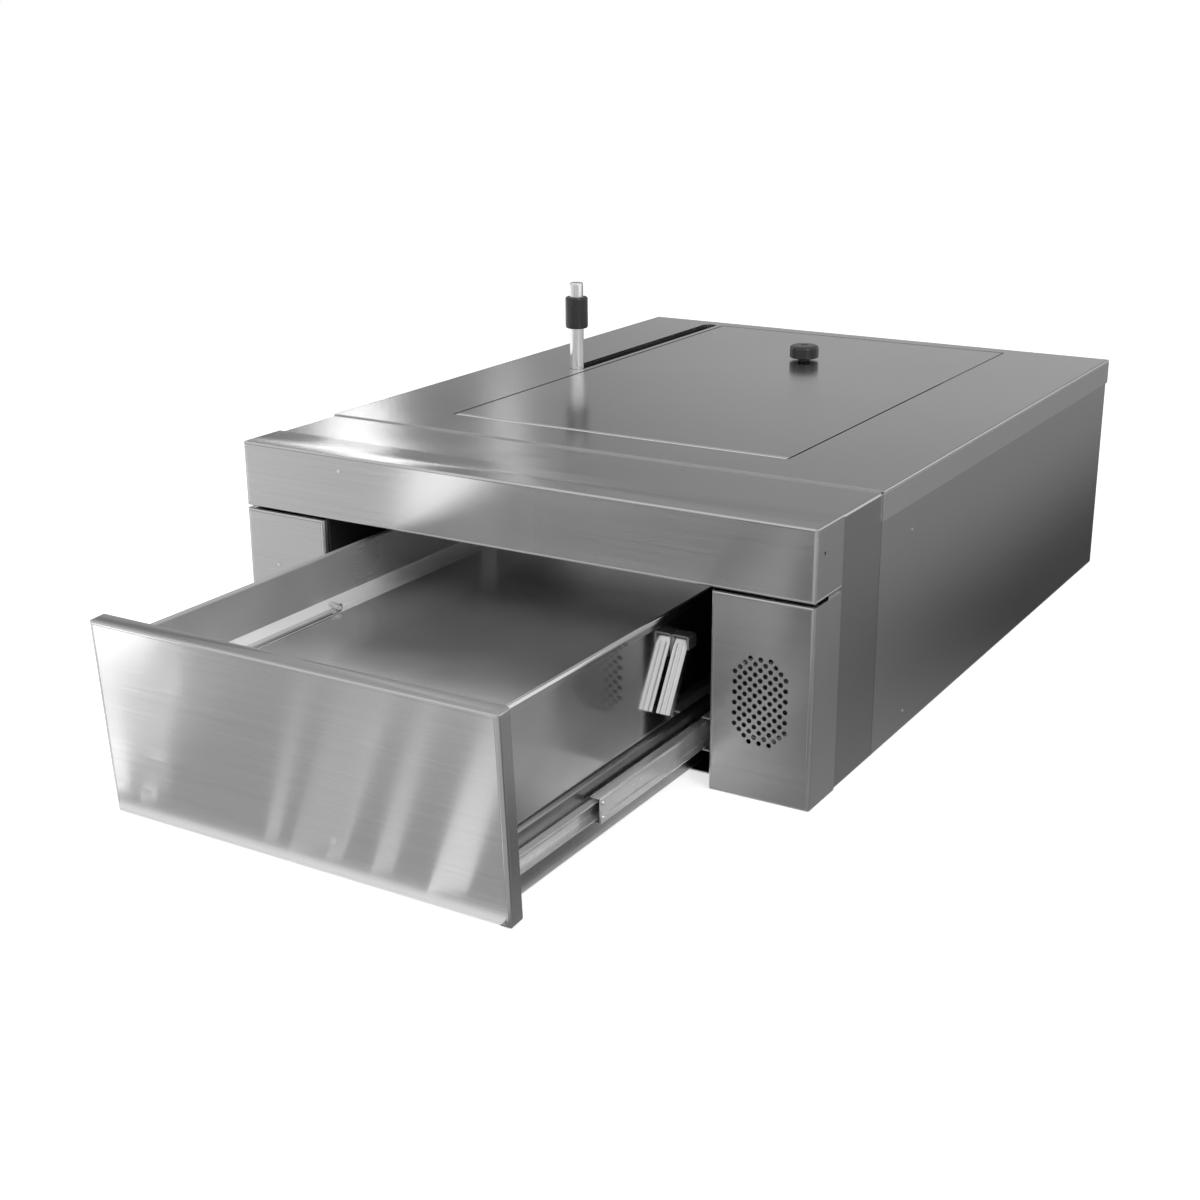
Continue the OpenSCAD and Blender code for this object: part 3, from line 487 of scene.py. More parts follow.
# Finishes of single nodes that look unlike the rest of their slot.
EXTRA_FINISHES = {
    # The sleeve's side below the drop gets painted shade.
    "wall_sleeve": replace(FINISHES["steel"], name="sleeve_steel", drop=0.2465),
    # The cover's skirt gets painted light.
    "top_cover": replace(FINISHES["deck"], name="cover_satin", skirt=0.2478),
    # The drawer front's top above the crest gets painted shade.
    "drawer_front": replace(FINISHES["fascia"], name="front_brushed", crest=0.1770),
    "drawer_left_wall": TraySteel("wall_satin", 0.44, 0.30, shine=0.0, satin=0.65),
    "drawer_right_wall": TraySteel("wall_bright", 0.74, 0.12, shine=0.0),
    # The drawer's rails keep a zinc colour, made darker than the other zinc as painted shade for the drawer's
    # shadow that they mirror.
    "drawer_left_rail": ZincPlate("rail_painted_shade_left", 0.30, 0.30),
    "drawer_right_rail": ZincPlate("rail_painted_shade", 0.30, 0.30),
    "latch_pawl": BrushedSteel("pawl_polish", 0.92, 0.16, Axis.Z, streaks=0.03, waviness=0.0, anisotropy=0.0),
}
MATERIALS = {name: finish.material() for name, finish in (FINISHES | EXTRA_FINISHES).items()}
SLOTS = {entry["node"]: entry["material_slot"] for entry in frame["record"]["subparts"]}
BODIES = {node: body for body, nodes in frame["record"]["behaviour"]["bodies"].items() for node in nodes}


def facing(axis: Axis, sign: float, level: float | None = None) -> Test:
    """Make a test for faces that are square to an axis.

    Args:
        axis: The axis.
        sign: 1 for faces that look up the axis, -1 for those that look down.
        level: Where on the axis the face lies, or None for anywhere.

    Returns:
        The test, which takes a face's middle and normal.
    """
    def passes(middle: Vector, normal: Vector) -> bool:
        """Tell whether a face looks that way and lies there."""
        here = level is None or abs(middle[axis.value] - level) < HAIR
        return here and normal[axis.value] * sign > SQUARE
    return passes


def lying(**levels: float) -> Test:
    """Make a test for edges that lie at a given x, y or z.

    Args:
        levels: The place on each axis that counts.

    Returns:
        The test, which takes an edge's two ends.
    """
    def passes(one: Vector, two: Vector) -> bool:
        """Tell whether both ends are at those places."""
        return all(abs(getattr(end, axis) - level) < HAIR
                   for end in (one, two) for axis, level in levels.items())
    return passes


class Bench:
    """Workbench of modelling steps, each done with Blender's own operators."""

    @staticmethod
    def clear() -> None:
        """Leave edit mode and select nothing."""
        if bpy.context.object and bpy.context.object.mode != "OBJECT":
            bpy.ops.object.mode_set(mode="OBJECT")
        bpy.ops.object.select_all(action="DESELECT")

    @staticmethod
    def take(piece: Piece) -> None:
        """Select one piece alone and make it active.

        Args:
            piece: The piece.
        """
        Bench.clear()
        piece.select_set(True)
        bpy.context.view_layer.objects.active = piece

    @staticmethod
    def seat(name: str) -> Piece:
        """Name the active object and put its place into its mesh.

        Args:
            name: The piece's name.

        Returns:
            The piece.
        """
        piece = bpy.context.object
        piece.name = name
        bpy.ops.object.transform_apply(location=True, rotation=True, scale=True)
        return piece

    @staticmethod
    def block(name: str, low: Point, high: Point) -> Piece:
        """Start a piece from a cube that fills the space between two corners.

        Args:
            name: The piece's name.
            low: Its lowest corner.
            high: Its highest corner.

        Returns:
            The new piece.
        """
        Bench.clear()
        middle = (Vector(low) + Vector(high)) / 2
        bpy.ops.mesh.primitive_cube_add(size=1.0, location=middle, scale=Vector(high) - Vector(low))
        return Bench.seat(name)

    @staticmethod
    def turned(name: str, foot: Point, radius: float, height: float, sides: int = 64,
               turn: Point = (0.0, 0.0, 0.0)) -> Piece:
        """Start a piece from a round bar that stands on a point.

        Args:
            name: The piece's name.
            foot: The middle of its lower face.
            radius: Its radius.
            height: Its length.
            sides: Faces round it.
            turn: How it is turned from upright, about its foot.

        Returns:
            The new piece.
        """
        Bench.clear()
        middle = Vector(foot) + Euler(turn).to_matrix() @ Vector((0.0, 0.0, height / 2))
        bpy.ops.mesh.primitive_cylinder_add(vertices=sides, radius=radius, depth=height, location=middle,
                                            rotation=turn)
        return Bench.seat(name)

    @staticmethod
    def whole(piece: Piece) -> None:
        """Enter edit mode with all of a piece selected.

        Args:
            piece: The piece.
        """
        Bench.take(piece)
        bpy.ops.object.mode_set(mode="EDIT")
        bpy.ops.mesh.select_all(action="SELECT")

    @staticmethod
    def choose(piece: Piece, part: Part, wanted: Test) -> None:
        """Enter edit mode with the faces or edges selected that pass a test.

        Args:
            piece: The piece.
            part: Which of the two.
            wanted: The test, which takes a face's middle and normal or an edge's two ends.
        """
        Bench.take(piece)
        bpy.ops.object.mode_set(mode="EDIT")
        bpy.ops.mesh.select_mode(type=part.value)
        bpy.ops.mesh.select_all(action="DESELECT")
        bpy.ops.object.mode_set(mode="OBJECT")
        if part is Part.FACE:
            for face in piece.data.polygons:
                face.select = wanted(face.center, face.normal)
        else:
            spots = [vertex.co for vertex in piece.data.vertices]
            for edge in piece.data.edges:
                edge.select = wanted(*(spots[end] for end in edge.vertices))
        bpy.ops.object.mode_set(mode="EDIT")

    @staticmethod
    def press(piece: Piece, wanted: Test, rim: float, move: Point) -> None:
        """Inset the chosen faces and draw what is inside out or in.

        Args:
            piece: The piece.
            wanted: Picks the faces.
            rim: Width left round them.
            move: Which way and how far the inside goes.
        """
        Bench.choose(piece, Part.FACE, wanted)
        if rim > 0.0:
            bpy.ops.mesh.inset(thickness=rim, depth=0.0, use_even_offset=True)
        bpy.ops.mesh.extrude_region_move(TRANSFORM_OT_translate={"value": move})
        Bench.clear()

    @staticmethod
    def round(piece: Piece, wanted: Test, width: float, steps: int, profile: float = 0.5) -> None:
        """Bevel the chosen edges.

        Args:
            piece: The piece.
            wanted: Picks the edges.
            width: Width of the bevel in metres.
            steps: Faces across the bevel.
            profile: 0.5 for a convex round, less for one that is hollow.
        """
        Bench.choose(piece, Part.EDGE, wanted)
        bpy.ops.mesh.bevel(offset=width, segments=steps, profile=profile, affect="EDGES")
        Bench.clear()

    @staticmethod
    def cut(piece: Piece, spot: Point, away: Point, drop: bool = True) -> None:
        """Cut a piece along a plane, then drop one side and close the cut, or leave both.

        Args:
            piece: The piece.
            spot: A point of the plane.
            away: The plane's normal, towards the side that goes.
            drop: Whether that side goes.
        """
        Bench.whole(piece)
        bpy.ops.mesh.bisect(plane_co=spot, plane_no=away, use_fill=drop, clear_outer=drop)
        Bench.clear()

    @staticmethod
    def true_up(piece: Piece) -> None:
        """Merge doubles and turn all faces outwards.

        Args:
            piece: The piece.
        """
        Bench.whole(piece)
        bpy.ops.mesh.remove_doubles(threshold=0.000005)
        bpy.ops.mesh.normals_make_consistent(inside=False)
        Bench.clear()

    @staticmethod
    def modify(piece: Piece, kind: str, **settings: object) -> None:
        """Add a modifier with its settings and apply it.

        Args:
            piece: The piece.
            kind: The modifier's type.
            settings: Its settings.
        """
        Bench.take(piece)
        modifier = piece.modifiers.new(kind.lower(), kind)
        for name, value in settings.items():
            setattr(modifier, name, value)
        bpy.ops.object.modifier_apply(modifier=modifier.name)

    @staticmethod
    def soften(piece: Piece, edge: float, angle: float = 30.0) -> None:
        """Break the sharp edges and shade the piece with its flats kept flat.

        Args:
            piece: The piece.
            edge: Width of the broken edge in metres.
            angle: Edges that turn more than this in degrees are sharp.
        """
        if edge > 0.0:
            Bench.modify(piece, "BEVEL", width=edge, segments=2, limit_method="ANGLE",
                         angle_limit=math.radians(angle + BREAK_MARGIN), use_clamp_overlap=True)
        Bench.take(piece)
        bpy.ops.object.shade_smooth_by_angle(angle=math.radians(angle))
        Bench.modify(piece, "WEIGHTED_NORMAL", mode="FACE_AREA", keep_sharp=True)

    @staticmethod
    def join(pieces: list[Piece], name: str) -> Piece:
        """Join several meshes into one piece.

        Args:
            pieces: The meshes.
            name: The piece's name.

        Returns:
            The joined piece.
        """
        Bench.take(pieces[0])
        for piece in pieces[1:]:
            piece.select_set(True)
        bpy.ops.object.join()
        pieces[0].name = name
        return pieces[0]

    @staticmethod
    def twin(piece: Piece, name: str, mirrored: bool = False) -> Piece:
        """Copy a piece with its own mesh, as it is or mirrored across the unit's middle.

        Args:
            piece: The piece.
            name: The copy's name.
            mirrored: Whether left and right change places.

        Returns:
            The copy.
        """
        Bench.take(piece)
        bpy.ops.object.duplicate(linked=False)
        copy = bpy.context.object
        if mirrored:
            copy.scale.x = -1.0
        Bench.take(copy)
        Bench.seat(name)
        if mirrored:
            Bench.true_up(copy)
        return copy

    @staticmethod
    def copy_of(node: str, name: str) -> Piece:
        """Copy a CAD node as one closed mesh with clean faces.

        Args:
            node: The node.
            name: The new piece's name.

        Returns:
            The merged copy.
        """
        mesh = frame["nodes"][node].data.copy()
        mesh.materials.clear()
        piece = bpy.data.objects.new(name, mesh)
        bpy.context.scene.collection.objects.link(piece)
        Bench.whole(piece)
        bpy.ops.mesh.remove_doubles(threshold=0.00001)
        bpy.ops.mesh.dissolve_limited(angle_limit=math.radians(1.0))
        Bench.clear()
        return piece

    @staticmethod
    def finish(piece: Piece, slot: str, body: str, *nodes: str) -> None:
        """Give a piece its finish and its place in the assembly.

        Args:
            piece: The piece.
            slot: The record's material slot.
            body: The body that it moves with.
            nodes: The CAD nodes that it stands for.
        """
        piece.data.materials.clear()
        piece.data.materials.append(MATERIALS.get(nodes[0], MATERIALS[slot]))
        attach(piece, body)
        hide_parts(*nodes)
        LOG.info("%s: %d faces, %s, on %s", piece.name, len(piece.data.polygons), slot, body)


@dataclass
class SheetWork:
    """Sheet pieces taken over from the frame, with their cut edges broken."""

    edge: float = 0.0003

    def dress(self, *nodes: str, edge: float | None = None, angle: float = 30.0) -> None:
        """Replace each node by a copy with softened edges.

        Args:
            nodes: The CAD nodes.
            edge: Width of the broken edge in metres, or None for the usual one.
            angle: Edges that turn more than this in degrees stay sharp.
        """
        for node in nodes:
            piece = Bench.copy_of(node, f"{node}_sheet")
            Bench.soften(piece, self.edge if edge is None else edge, angle)
            Bench.finish(piece, SLOTS[node], BODIES[node], node)


@dataclass
class Casing(SheetWork):
    """The fixed case: pan, panels, covers, hood, pillars, black mouth liners and rivets."""

    edge: float = 0.0004
    folded_edge: float = 0.0009
    fine_edge: float = 0.0003

    def build(self) -> None:
        """Dress the whole case, with rounder edges where the front's sheet is folded."""
        self.dress("bottom_pan", "left_side_panel", "right_side_panel", "rear_panel", "wall_sleeve",
                   "top_cover")
        self.dress("front_hood", "left_pillar", "right_pillar", edge=self.folded_edge)
        self.dress("hood_liner", "left_liner", "right_liner", "left_slide_carrier", "right_slide_carrier",
                   "stop_bar", "stop_bumpers", "slide_rivets", "casing_rivets", edge=self.fine_edge)


@dataclass
class Speaker(SheetWork):
    """The loudspeaker behind the right pillar's grille."""

    edge: float = 0.0002

    def build(self) -> None:
        """Dress the loudspeaker."""
        self.dress("speaker_gasket", "speaker_frame", "speaker_cone", "speaker_magnet", "speaker_nuts")


@dataclass
class Knob:
    """Black turned knob of the lid, with its screw."""

    centre: Point = (-0.0065, 0.2215, 0.250)
    head_radius: float = 0.017
    head_height: float = 0.0145
    stem_radius: float = 0.007
    stem_height: float = 0.003
    crown_round: float = 0.0036
    rim_round: float = 0.0014
    dish_rim: float = 0.009
    dish_depth: float = 0.0004

    def build(self) -> None:
        """Turn the knob: a domed head, undercut to its stem and dished on top."""
        x, y, deck = self.centre
        base = deck + self.stem_height
        crown = base + self.head_height
        knob = Bench.turned("lid_knob_turned", (x, y, base), self.head_radius, self.head_height)
        undercut = self.head_radius - self.stem_radius
        Bench.press(knob, facing(Axis.Z, -1.0), undercut, (0.0, 0.0, -self.stem_height))
        Bench.round(knob, lying(z=crown), self.crown_round, steps=5)
        at_base = lying(z=base)
        rim = self.head_radius - 2 * HAIR
        Bench.round(knob, lambda one, two: at_base(one, two) and (one.xy - Vector((x, y))).length > rim,
                    self.rim_round, steps=3)
        Bench.press(knob, facing(Axis.Z, 1.0, crown), self.dish_rim, (0.0, 0.0, -self.dish_depth))
        Bench.soften(knob, edge=0.0, angle=40.0)
        Bench.finish(knob, "black_plastic", "lid", "lid_knob")


@dataclass
class Lid(SheetWork):
    """The deck's lid with its stiffeners, piano hinge and knob."""

    hinge_edge: float = 0.0001

    def build(self) -> None:
        """Dress the lid's sheet pieces and turn its knob."""
        self.dress("lid_panel", "lid_stiffeners", "lid_shelf", "slot_guide", "knob_screw")
        self.dress("lid_hinge_fixed_leaf", "lid_hinge_lid_leaf", "lid_hinge_pin", edge=self.hinge_edge,
                   angle=35.0)
        Knob().build()


@dataclass
class OperatingRod(SheetWork):
    """The bright rod that works the drawer from the staff's side, with its black grip."""

    axis: tuple[float, float] = (-0.213, 0.0445)
    radius: float = 0.008
    grip_radius: float = 0.013
    grip_low: float = 0.297
    grip_high: float = 0.333
    grip_round: float = 0.0026

    def grip(self) -> None:
        """Turn the grip: a sleeve with rounded rims, open for the rod."""
        grip = Bench.turned("rod_grip_sleeve", (*self.axis, self.grip_low), self.grip_radius,
                            self.grip_high - self.grip_low, sides=72)
        Bench.choose(grip, Part.FACE, lambda middle, normal: abs(normal.z) > SQUARE)
        bpy.ops.mesh.inset(thickness=self.grip_radius - self.radius - HAIR, depth=0.0)
        bpy.ops.mesh.bridge_edge_loops()
        Bench.clear()
        rim = self.grip_radius - 2 * HAIR
        Bench.round(grip, lambda one, two: (abs(one.z - two.z) < HAIR
                                            and (one.xy - Vector(self.axis)).length > rim),
                    self.grip_round, steps=4)
        Bench.true_up(grip)
        Bench.soften(grip, edge=0.0, angle=35.0)
        Bench.finish(grip, "black_plastic", "drawer", "rod_grip")

    def build(self) -> None:
        """Dress the rod's parts and turn the grip."""
        self.dress("rod_bracket", "rod_nut", "operating_rod")
        self.grip()


@dataclass(frozen=True)
class Groove:
    """A groove down the pawl's face: its two sides, measured across the pawl, and its depth."""

    left: float
    right: float
    depth: float


@dataclass
class Pawl:
    """Latch pawl: a grooved bar that hangs from its pin and leans forward."""

    pivot: Point = (0.1785, -0.427, 0.134)
    width: float = 0.013
    length: float = 0.066
    depth: float = 0.0075
    eye: float = 0.004
    crown_share: float = 0.45
    lean: float = 30.6
    edge: float = 0.0003
    grooves: tuple[Groove, ...] = (Groove(0.0030, 0.0042, 0.0022), Groove(0.0084, 0.0094, 0.0016))

    def build(self) -> None:
        """Shape the bar upright, cut its grooves and lean it."""
        back, foot, crown = -self.eye, -self.length, self.eye
        bar = Bench.block("latch_pawl_bar", (0.0, back, foot), (self.width, back + self.depth, crown))
        on_top = lying(z=crown)
        Bench.round(bar, lambda one, two: on_top(one, two) and abs(one.y - two.y) < HAIR,
                    self.depth * self.crown_share, steps=5)
        for groove in self.grooves:
            for side in (groove.left, groove.right):
                Bench.cut(bar, (side, 0.0, 0.0), (1.0, 0.0, 0.0), drop=False)
        Bench.cut(bar, (0.0, 0.0, -self.eye), (0.0, 0.0, 1.0), drop=False)
        for groove in self.grooves:
            Bench.press(bar, lambda middle, normal: (normal.y < -SQUARE and middle.z < -self.eye
                                                     and groove.left < middle.x < groove.right),
                        0.0, (0.0, groove.depth, 0.0))
        Bench.true_up(bar)
        bar.rotation_euler = (math.radians(-self.lean), 0.0, 0.0)
        bar.location = self.pivot
        Bench.take(bar)
        Bench.seat(bar.name)
        Bench.soften(bar, self.edge)
        Bench.finish(bar, "zinc", "latch_pawl", "latch_pawl")


@dataclass
class TrayDrawer(SheetWork):
    """The drawer: brushed front, bright tray, rails, note clip and latch."""

    edge: float = 0.0004
    fine_edge: float = 0.00015
    half_width: float = 0.175
    floor_top: float = 0.113
    cove: float = 0.0085
    cove_lip: float = 0.0002
    front: float = -0.7065
    rear: float = -0.2225

    def floor(self) -> None:
        """Dress the tray floor and run a cove up to each side wall."""
        floor = Bench.copy_of("tray_floor", "tray_floor_coved")
        right, top = self.cove - self.half_width, self.floor_top + self.cove
        low = (-self.half_width, self.front, self.floor_top)
        cove = Bench.block("tray_cove", low, (right, self.rear, top))
        Bench.round(cove, lying(x=right, z=top), self.cove - self.cove_lip, steps=10, profile=0.15)
        other = Bench.twin(cove, "tray_cove_right", mirrored=True)
        for piece, edge in ((floor, self.edge), (cove, 0.0), (other, 0.0)):
            Bench.soften(piece, edge)
        floor = Bench.join([floor, cove, other], "tray_floor_coved")
        Bench.finish(floor, "tray_steel", "drawer", "tray_floor")

    def build(self) -> None:
        """Dress the drawer."""
        self.dress("drawer_front", "drawer_left_wall", "drawer_right_wall", "drawer_rear_wall",
                   "drawer_front_wall", "drawer_left_rail", "drawer_right_rail")
        self.dress("bill_clip", "bill_clip_base", "latch_bracket", edge=self.fine_edge)
        self.floor()
        Pawl().build()


@dataclass(frozen=True)
class SlideMember:
    """One rolled channel of a slide, modelled on the right side."""

    name: str
    web: float
    lips: float
    low: float
    high: float
    front: float
    rear: float
    bead: float
    sheet: float = 0.0014
    bend: float = 0.0026
    tip: float = 0.0005
    bed_margin: float = 0.28
    back_margin: float = 0.30

    def build(self) -> Piece:
        """Press the channel from a bar, round its bends and roll a bead along its web.

        Returns:
            The channel.
        """
        spare = 3 * self.sheet
        height = self.high - self.low
        low_x, high_x = sorted((self.web, self.lips))
        bar = Bench.block(self.name, (low_x, self.front - spare, self.low),
                          (high_x, self.rear + spare, self.high))
        opens = 1.0 if self.lips > self.web else -1.0
        depth = (abs(self.lips - self.web) - self.sheet) * opens
        bead = (self.bead * opens, 0.0, 0.0)
        inside = self.web + self.sheet * opens
        Bench.press(bar, facing(Axis.X, opens), self.sheet, (-depth, 0.0, 0.0))
        Bench.press(bar, facing(Axis.X, opens, inside), self.bed_margin * height, bead)
        Bench.press(bar, facing(Axis.X, -opens, self.web), self.back_margin * height, bead)
        Bench.cut(bar, (0.0, self.front, 0.0), (0.0, -1.0, 0.0))
        Bench.cut(bar, (0.0, self.rear, 0.0), (0.0, 1.0, 0.0))
        heels = lying(x=self.web, z=self.low), lying(x=self.web, z=self.high)
        Bench.round(bar, lambda one, two: any(heel(one, two) for heel in heels), self.bend, steps=4)
        at_lips = lying(x=self.lips)
        Bench.round(bar, lambda one, two: at_lips(one, two) and abs(one.z - two.z) < HAIR,
                    self.tip, steps=2)
        Bench.true_up(bar)
        return bar


@dataclass
class Slides(SheetWork):
    """Telescopic ball slides, three members a side, with their cages."""

    edge: float = 0.0001
    inner: SlideMember = SlideMember(
        "slide_inner", 0.181, 0.190, 0.030, 0.046, -0.705, -0.210, 0.0008)
    middle: SlideMember = SlideMember(
        "slide_intermediate", 0.194, 0.184, 0.026, 0.050, -0.581, -0.101, 0.0012)
    outer: SlideMember = SlideMember(
        "slide_outer", 0.1995, 0.187, 0.022, 0.054, -0.397, 0.115, 0.0012)
    rivet_heights: tuple[float, float] = (0.0315, 0.0445)
    rivet_radius: float = 0.0021
    rivet_length: float = 0.0016
    rivet_sunk: float = 0.0004
    rivet_setback: float = 0.004
    rivet_dome: float = 0.0009

    def stop_rivet(self, height: float) -> Piece:
        """Set a bright stop rivet at the intermediate member's front end.

        Args:
            height: How high it sits.

        Returns:
            The rivet.
        """
        foot = (self.middle.web - self.rivet_sunk, self.middle.front + self.rivet_setback, height)
        rivet = Bench.turned("stop_rivet", foot, self.rivet_radius, self.rivet_length, sides=20,
                             turn=(0.0, math.pi / 2, 0.0))
        Bench.round(rivet, lying(x=foot[0] + self.rivet_length), self.rivet_dome, steps=3)
        return rivet

    def build(self) -> None:
        """Model the right side's members, mirror them, and dress the cages."""
        bodies = {"slide_inner": "drawer", "slide_intermediate": "{}_intermediate", "slide_outer": "housing"}
        for member in (self.inner, self.middle, self.outer):
            channel = member.build()
            if member is self.middle:
                channel = Bench.join([channel, *map(self.stop_rivet, self.rivet_heights)], member.name)
            for side in ("right", "left"):
                piece = Bench.twin(channel, f"{side}_{member.name}_rolled", mirrored=side == "left")
                Bench.soften(piece, edge=0.0, angle=32.0)
                Bench.finish(piece, "slide_steel", bodies[member.name].format(side), f"{side}_{member.name}")
            Bench.take(channel)
            bpy.ops.object.delete()
        for side in ("left", "right"):
            self.dress(f"{side}_outer_ball_cage", f"{side}_inner_ball_cage")


@dataclass(frozen=True)
class Shade:
    """A darker part of a card: how much darker, and the rises along axes that bound it."""

    depth: float
    rises: tuple[tuple[Axis, float, float], ...]

    def level(self, sheet: NodeSheet) -> Reading:
        """Brightness left by this shade over the card.

        Args:
            sheet: The card's material.

        Returns:
            1 where the card is untouched, less in the shade.
        """
        rises = []
        for axis, start, full in self.rises:
            place = sheet.along(axis)
            rises.append(place.step(start, full) if start < full else 1.0 - place.step(full, start))
        return 1.0 - math.prod(rises[1:], start=rises[0]) * self.depth


@dataclass(frozen=True)
class Card:
    """One pale card that only mirrors see, upright or lying, between two opposite corners."""

    name: str
    low: Point
    high: Point
    radiance: float
    shades: tuple[Shade, ...] = ()

    def corners(self) -> tuple[Point, ...]:
        """Find the card's corners, row by row.

        Returns:
            The lowest corner, the two beside it and the highest one.
        """
        ends = list(zip(self.low, self.high))
        run = next(axis for axis, (low, high) in enumerate(ends) if low != high)
        beside = tuple(high if axis == run else low for axis, (low, high) in enumerate(ends))
        above = tuple(low if axis == run else high for axis, (low, high) in enumerate(ends))
        return self.low, beside, above, self.high

    def build(self) -> None:
        """Cut the card and light it."""
        Bench.clear()
        bpy.ops.mesh.primitive_plane_add(size=1.0, location=(0.0, 0.0, 0.0))
        card = bpy.context.object
        card.name = self.name
        for vertex, spot in zip(card.data.vertices, self.corners()):
            vertex.co = spot
        sheet = NodeSheet(self.name)
        glow = (1.0, 1.0, 1.0, 1.0)
        levels = [shade.level(sheet) for shade in self.shades]
        if levels:
            glow = sheet.grey(math.prod(levels[1:], start=levels[0]), 0.0, 1.0)
        sheet.set(Base_Color=(0.0, 0.0, 0.0, 1.0), Roughness=1.0, Specular_IOR_Level=0.0,
                  Emission_Color=glow, Emission_Strength=self.radiance)
        card.data.materials.append(sheet.material)
        card.visible_camera = False
        card.visible_diffuse = False
        card.visible_shadow = False
        card.visible_transmission = False


def hang_lamp(name: str, spot: Vector, turn: Euler, size: tuple[float, float], power: float) -> Piece:
    """Hang a rectangular lamp that the camera doesn't see.

    Args:
        name: The lamp's name.
        spot: Its place.
        turn: How it is turned from facing down.
        size: Its width and height in metres.
        power: Its power in watts.

    Returns:
        The lamp.
    """
    data = bpy.data.lights.new(name, "AREA")
    data.shape = "RECTANGLE"
    data.size, data.size_y = size
    data.energy = power
    lamp = bpy.data.objects.new(name, data)
    lamp.location = spot
    lamp.rotation_euler = turn
    lamp.visible_camera = False
    bpy.context.scene.collection.objects.link(lamp)
    return lamp


@dataclass(frozen=True)
class SoftBox:
    """A large soft lamp that faces a point."""

    name: str
    spot: Point
    aim: Point
    size: tuple[float, float]
    power: float
    mirrored: bool = True

    def build(self) -> None:
        """Hang the lamp, and hide it from metal if it isn't to be mirrored."""
        spot = Vector(self.spot)
        turn = (Vector(self.aim) - spot).to_track_quat("-Z", "Y").to_euler()
        hang_lamp(self.name, spot, turn, self.size, self.power).visible_glossy = self.mirrored


@dataclass(frozen=True)
class Strip:
    """A narrow soft light lying on the floor before the drawer, seen only in its brushed front."""

    name: str
    near: tuple[float, float]
    far: tuple[float, float]
    width: float
    radiance: float
    height: float = 0.003

    def build(self) -> None:
        """Lay the light between its two ends, facing up."""
        near, far = Vector((*self.near, self.height)), Vector((*self.far, self.height))
        run = far - near
        turn = Euler((math.pi, 0.0, -math.atan2(run.x, run.y)))
        power = self.radiance * math.pi * self.width * run.length
        lamp = hang_lamp(self.name, (near + far) / 2, turn, (self.width, run.length), power)
        lamp.visible_diffuse = False
        lamp.visible_transmission = False
        lamp.data.use_shadow = False


SOFT_BOXES = (
    SoftBox("key_softbox", (-1.6, -2.6, 2.2), (0.0, -0.3, 0.1), (1.2, 1.6), 60.0, mirrored=False),
    SoftBox("fill_softbox", (2.2, -1.4, 1.8), (0.1, -0.2, 0.1), (1.2, 1.2), 22.0),
)
# Streaks that the drawer's brushed front mirrors, from left to right.
STRIPS = (
    Strip("wide_strip", (-0.645, -1.250), (-0.480, -0.966), 0.115, 3.5),
    Strip("strip_left", (-0.478, -0.968), (-0.227, -0.745), 0.026, 1.1),
    Strip("skirt_strip", (-0.420, -0.968), (-0.203, -0.745), 0.060, 0.27),
    Strip("strip_one", (-0.364, -0.967), (-0.187, -0.744), 0.014, 0.60),
    Strip("strip_two", (-0.203, -0.966), (-0.048, -0.743), 0.012, 0.36),
    Strip("plateau_strip", (-0.136, -0.965), (-0.002, -0.743), 0.045, 0.24),
    Strip("strip_three", (-0.103, -0.965), (0.018, -0.742), 0.014, 0.45),
    Strip("strip_four", (-0.055, -0.964), (0.066, -0.742), 0.018, 0.45),
    Strip("strip_five", (0.025, -0.964), (0.130, -0.741), 0.032, 0.75),
)
# What the steel mirrors of the room: the wall behind, and the floor on each side.
CARDS = (
    Card("rear_scrim", (-8.0, 3.0, 0.0), (0.6, 3.0, 3.0), 0.53,
         (Shade(0.35, ((Axis.X, -1.2, -2.7),)), Shade(0.38, ((Axis.Z, 0.85, 1.35),)))),
    Card("bright_card", (-3.06, 2.98, 1.30), (-2.78, 2.98, 1.64), 6.5),
    Card("band_card", (-2.36, 2.97, 1.1), (-2.24, 2.97, 2.0), 1.4),
    Card("front_apron", (-0.25, -9.0, 0.001), (3.0, -0.736, 0.001), 0.75,
         (Shade(0.27, ((Axis.Y, -1.03, -0.93),)),)),
    Card("left_apron", (-6.0, -9.0, 0.0008), (-0.25, -0.44, 0.0008), 1.4,
         (Shade(0.40, ((Axis.X, -0.95, -0.57),)), Shade(0.36, ((Axis.Y, -0.80, -1.1),)))),
    # Painted shadow: this card darkens towards the front, standing in for the drawer's shadow on the floor
    # beside it; it also darkens away from the pillar.
    Card("pillar_apron", (0.19, -0.736, 0.001), (1.3, -0.4255, 0.001), 0.6,
         (Shade(0.45, ((Axis.X, 0.2, 0.29),)), Shade(0.55, ((Axis.Y, -0.48, -0.58),)))),
    # Painted shadow: this card darkens near the unit's right side and rear, standing in for the unit's shadow
    # on the floor.
    Card("right_apron", (0.3036, -0.4255, 0.001), (1.6, 3.0, 0.001), 0.30,
         (Shade(0.74, ((Axis.X, 0.55, 0.33), (Axis.Y, -0.45, 0.2))),)),
    Card("left_flag", (-2.5, -1.4, 0.0), (-2.5, -0.4, 2.0), 0.35),
)


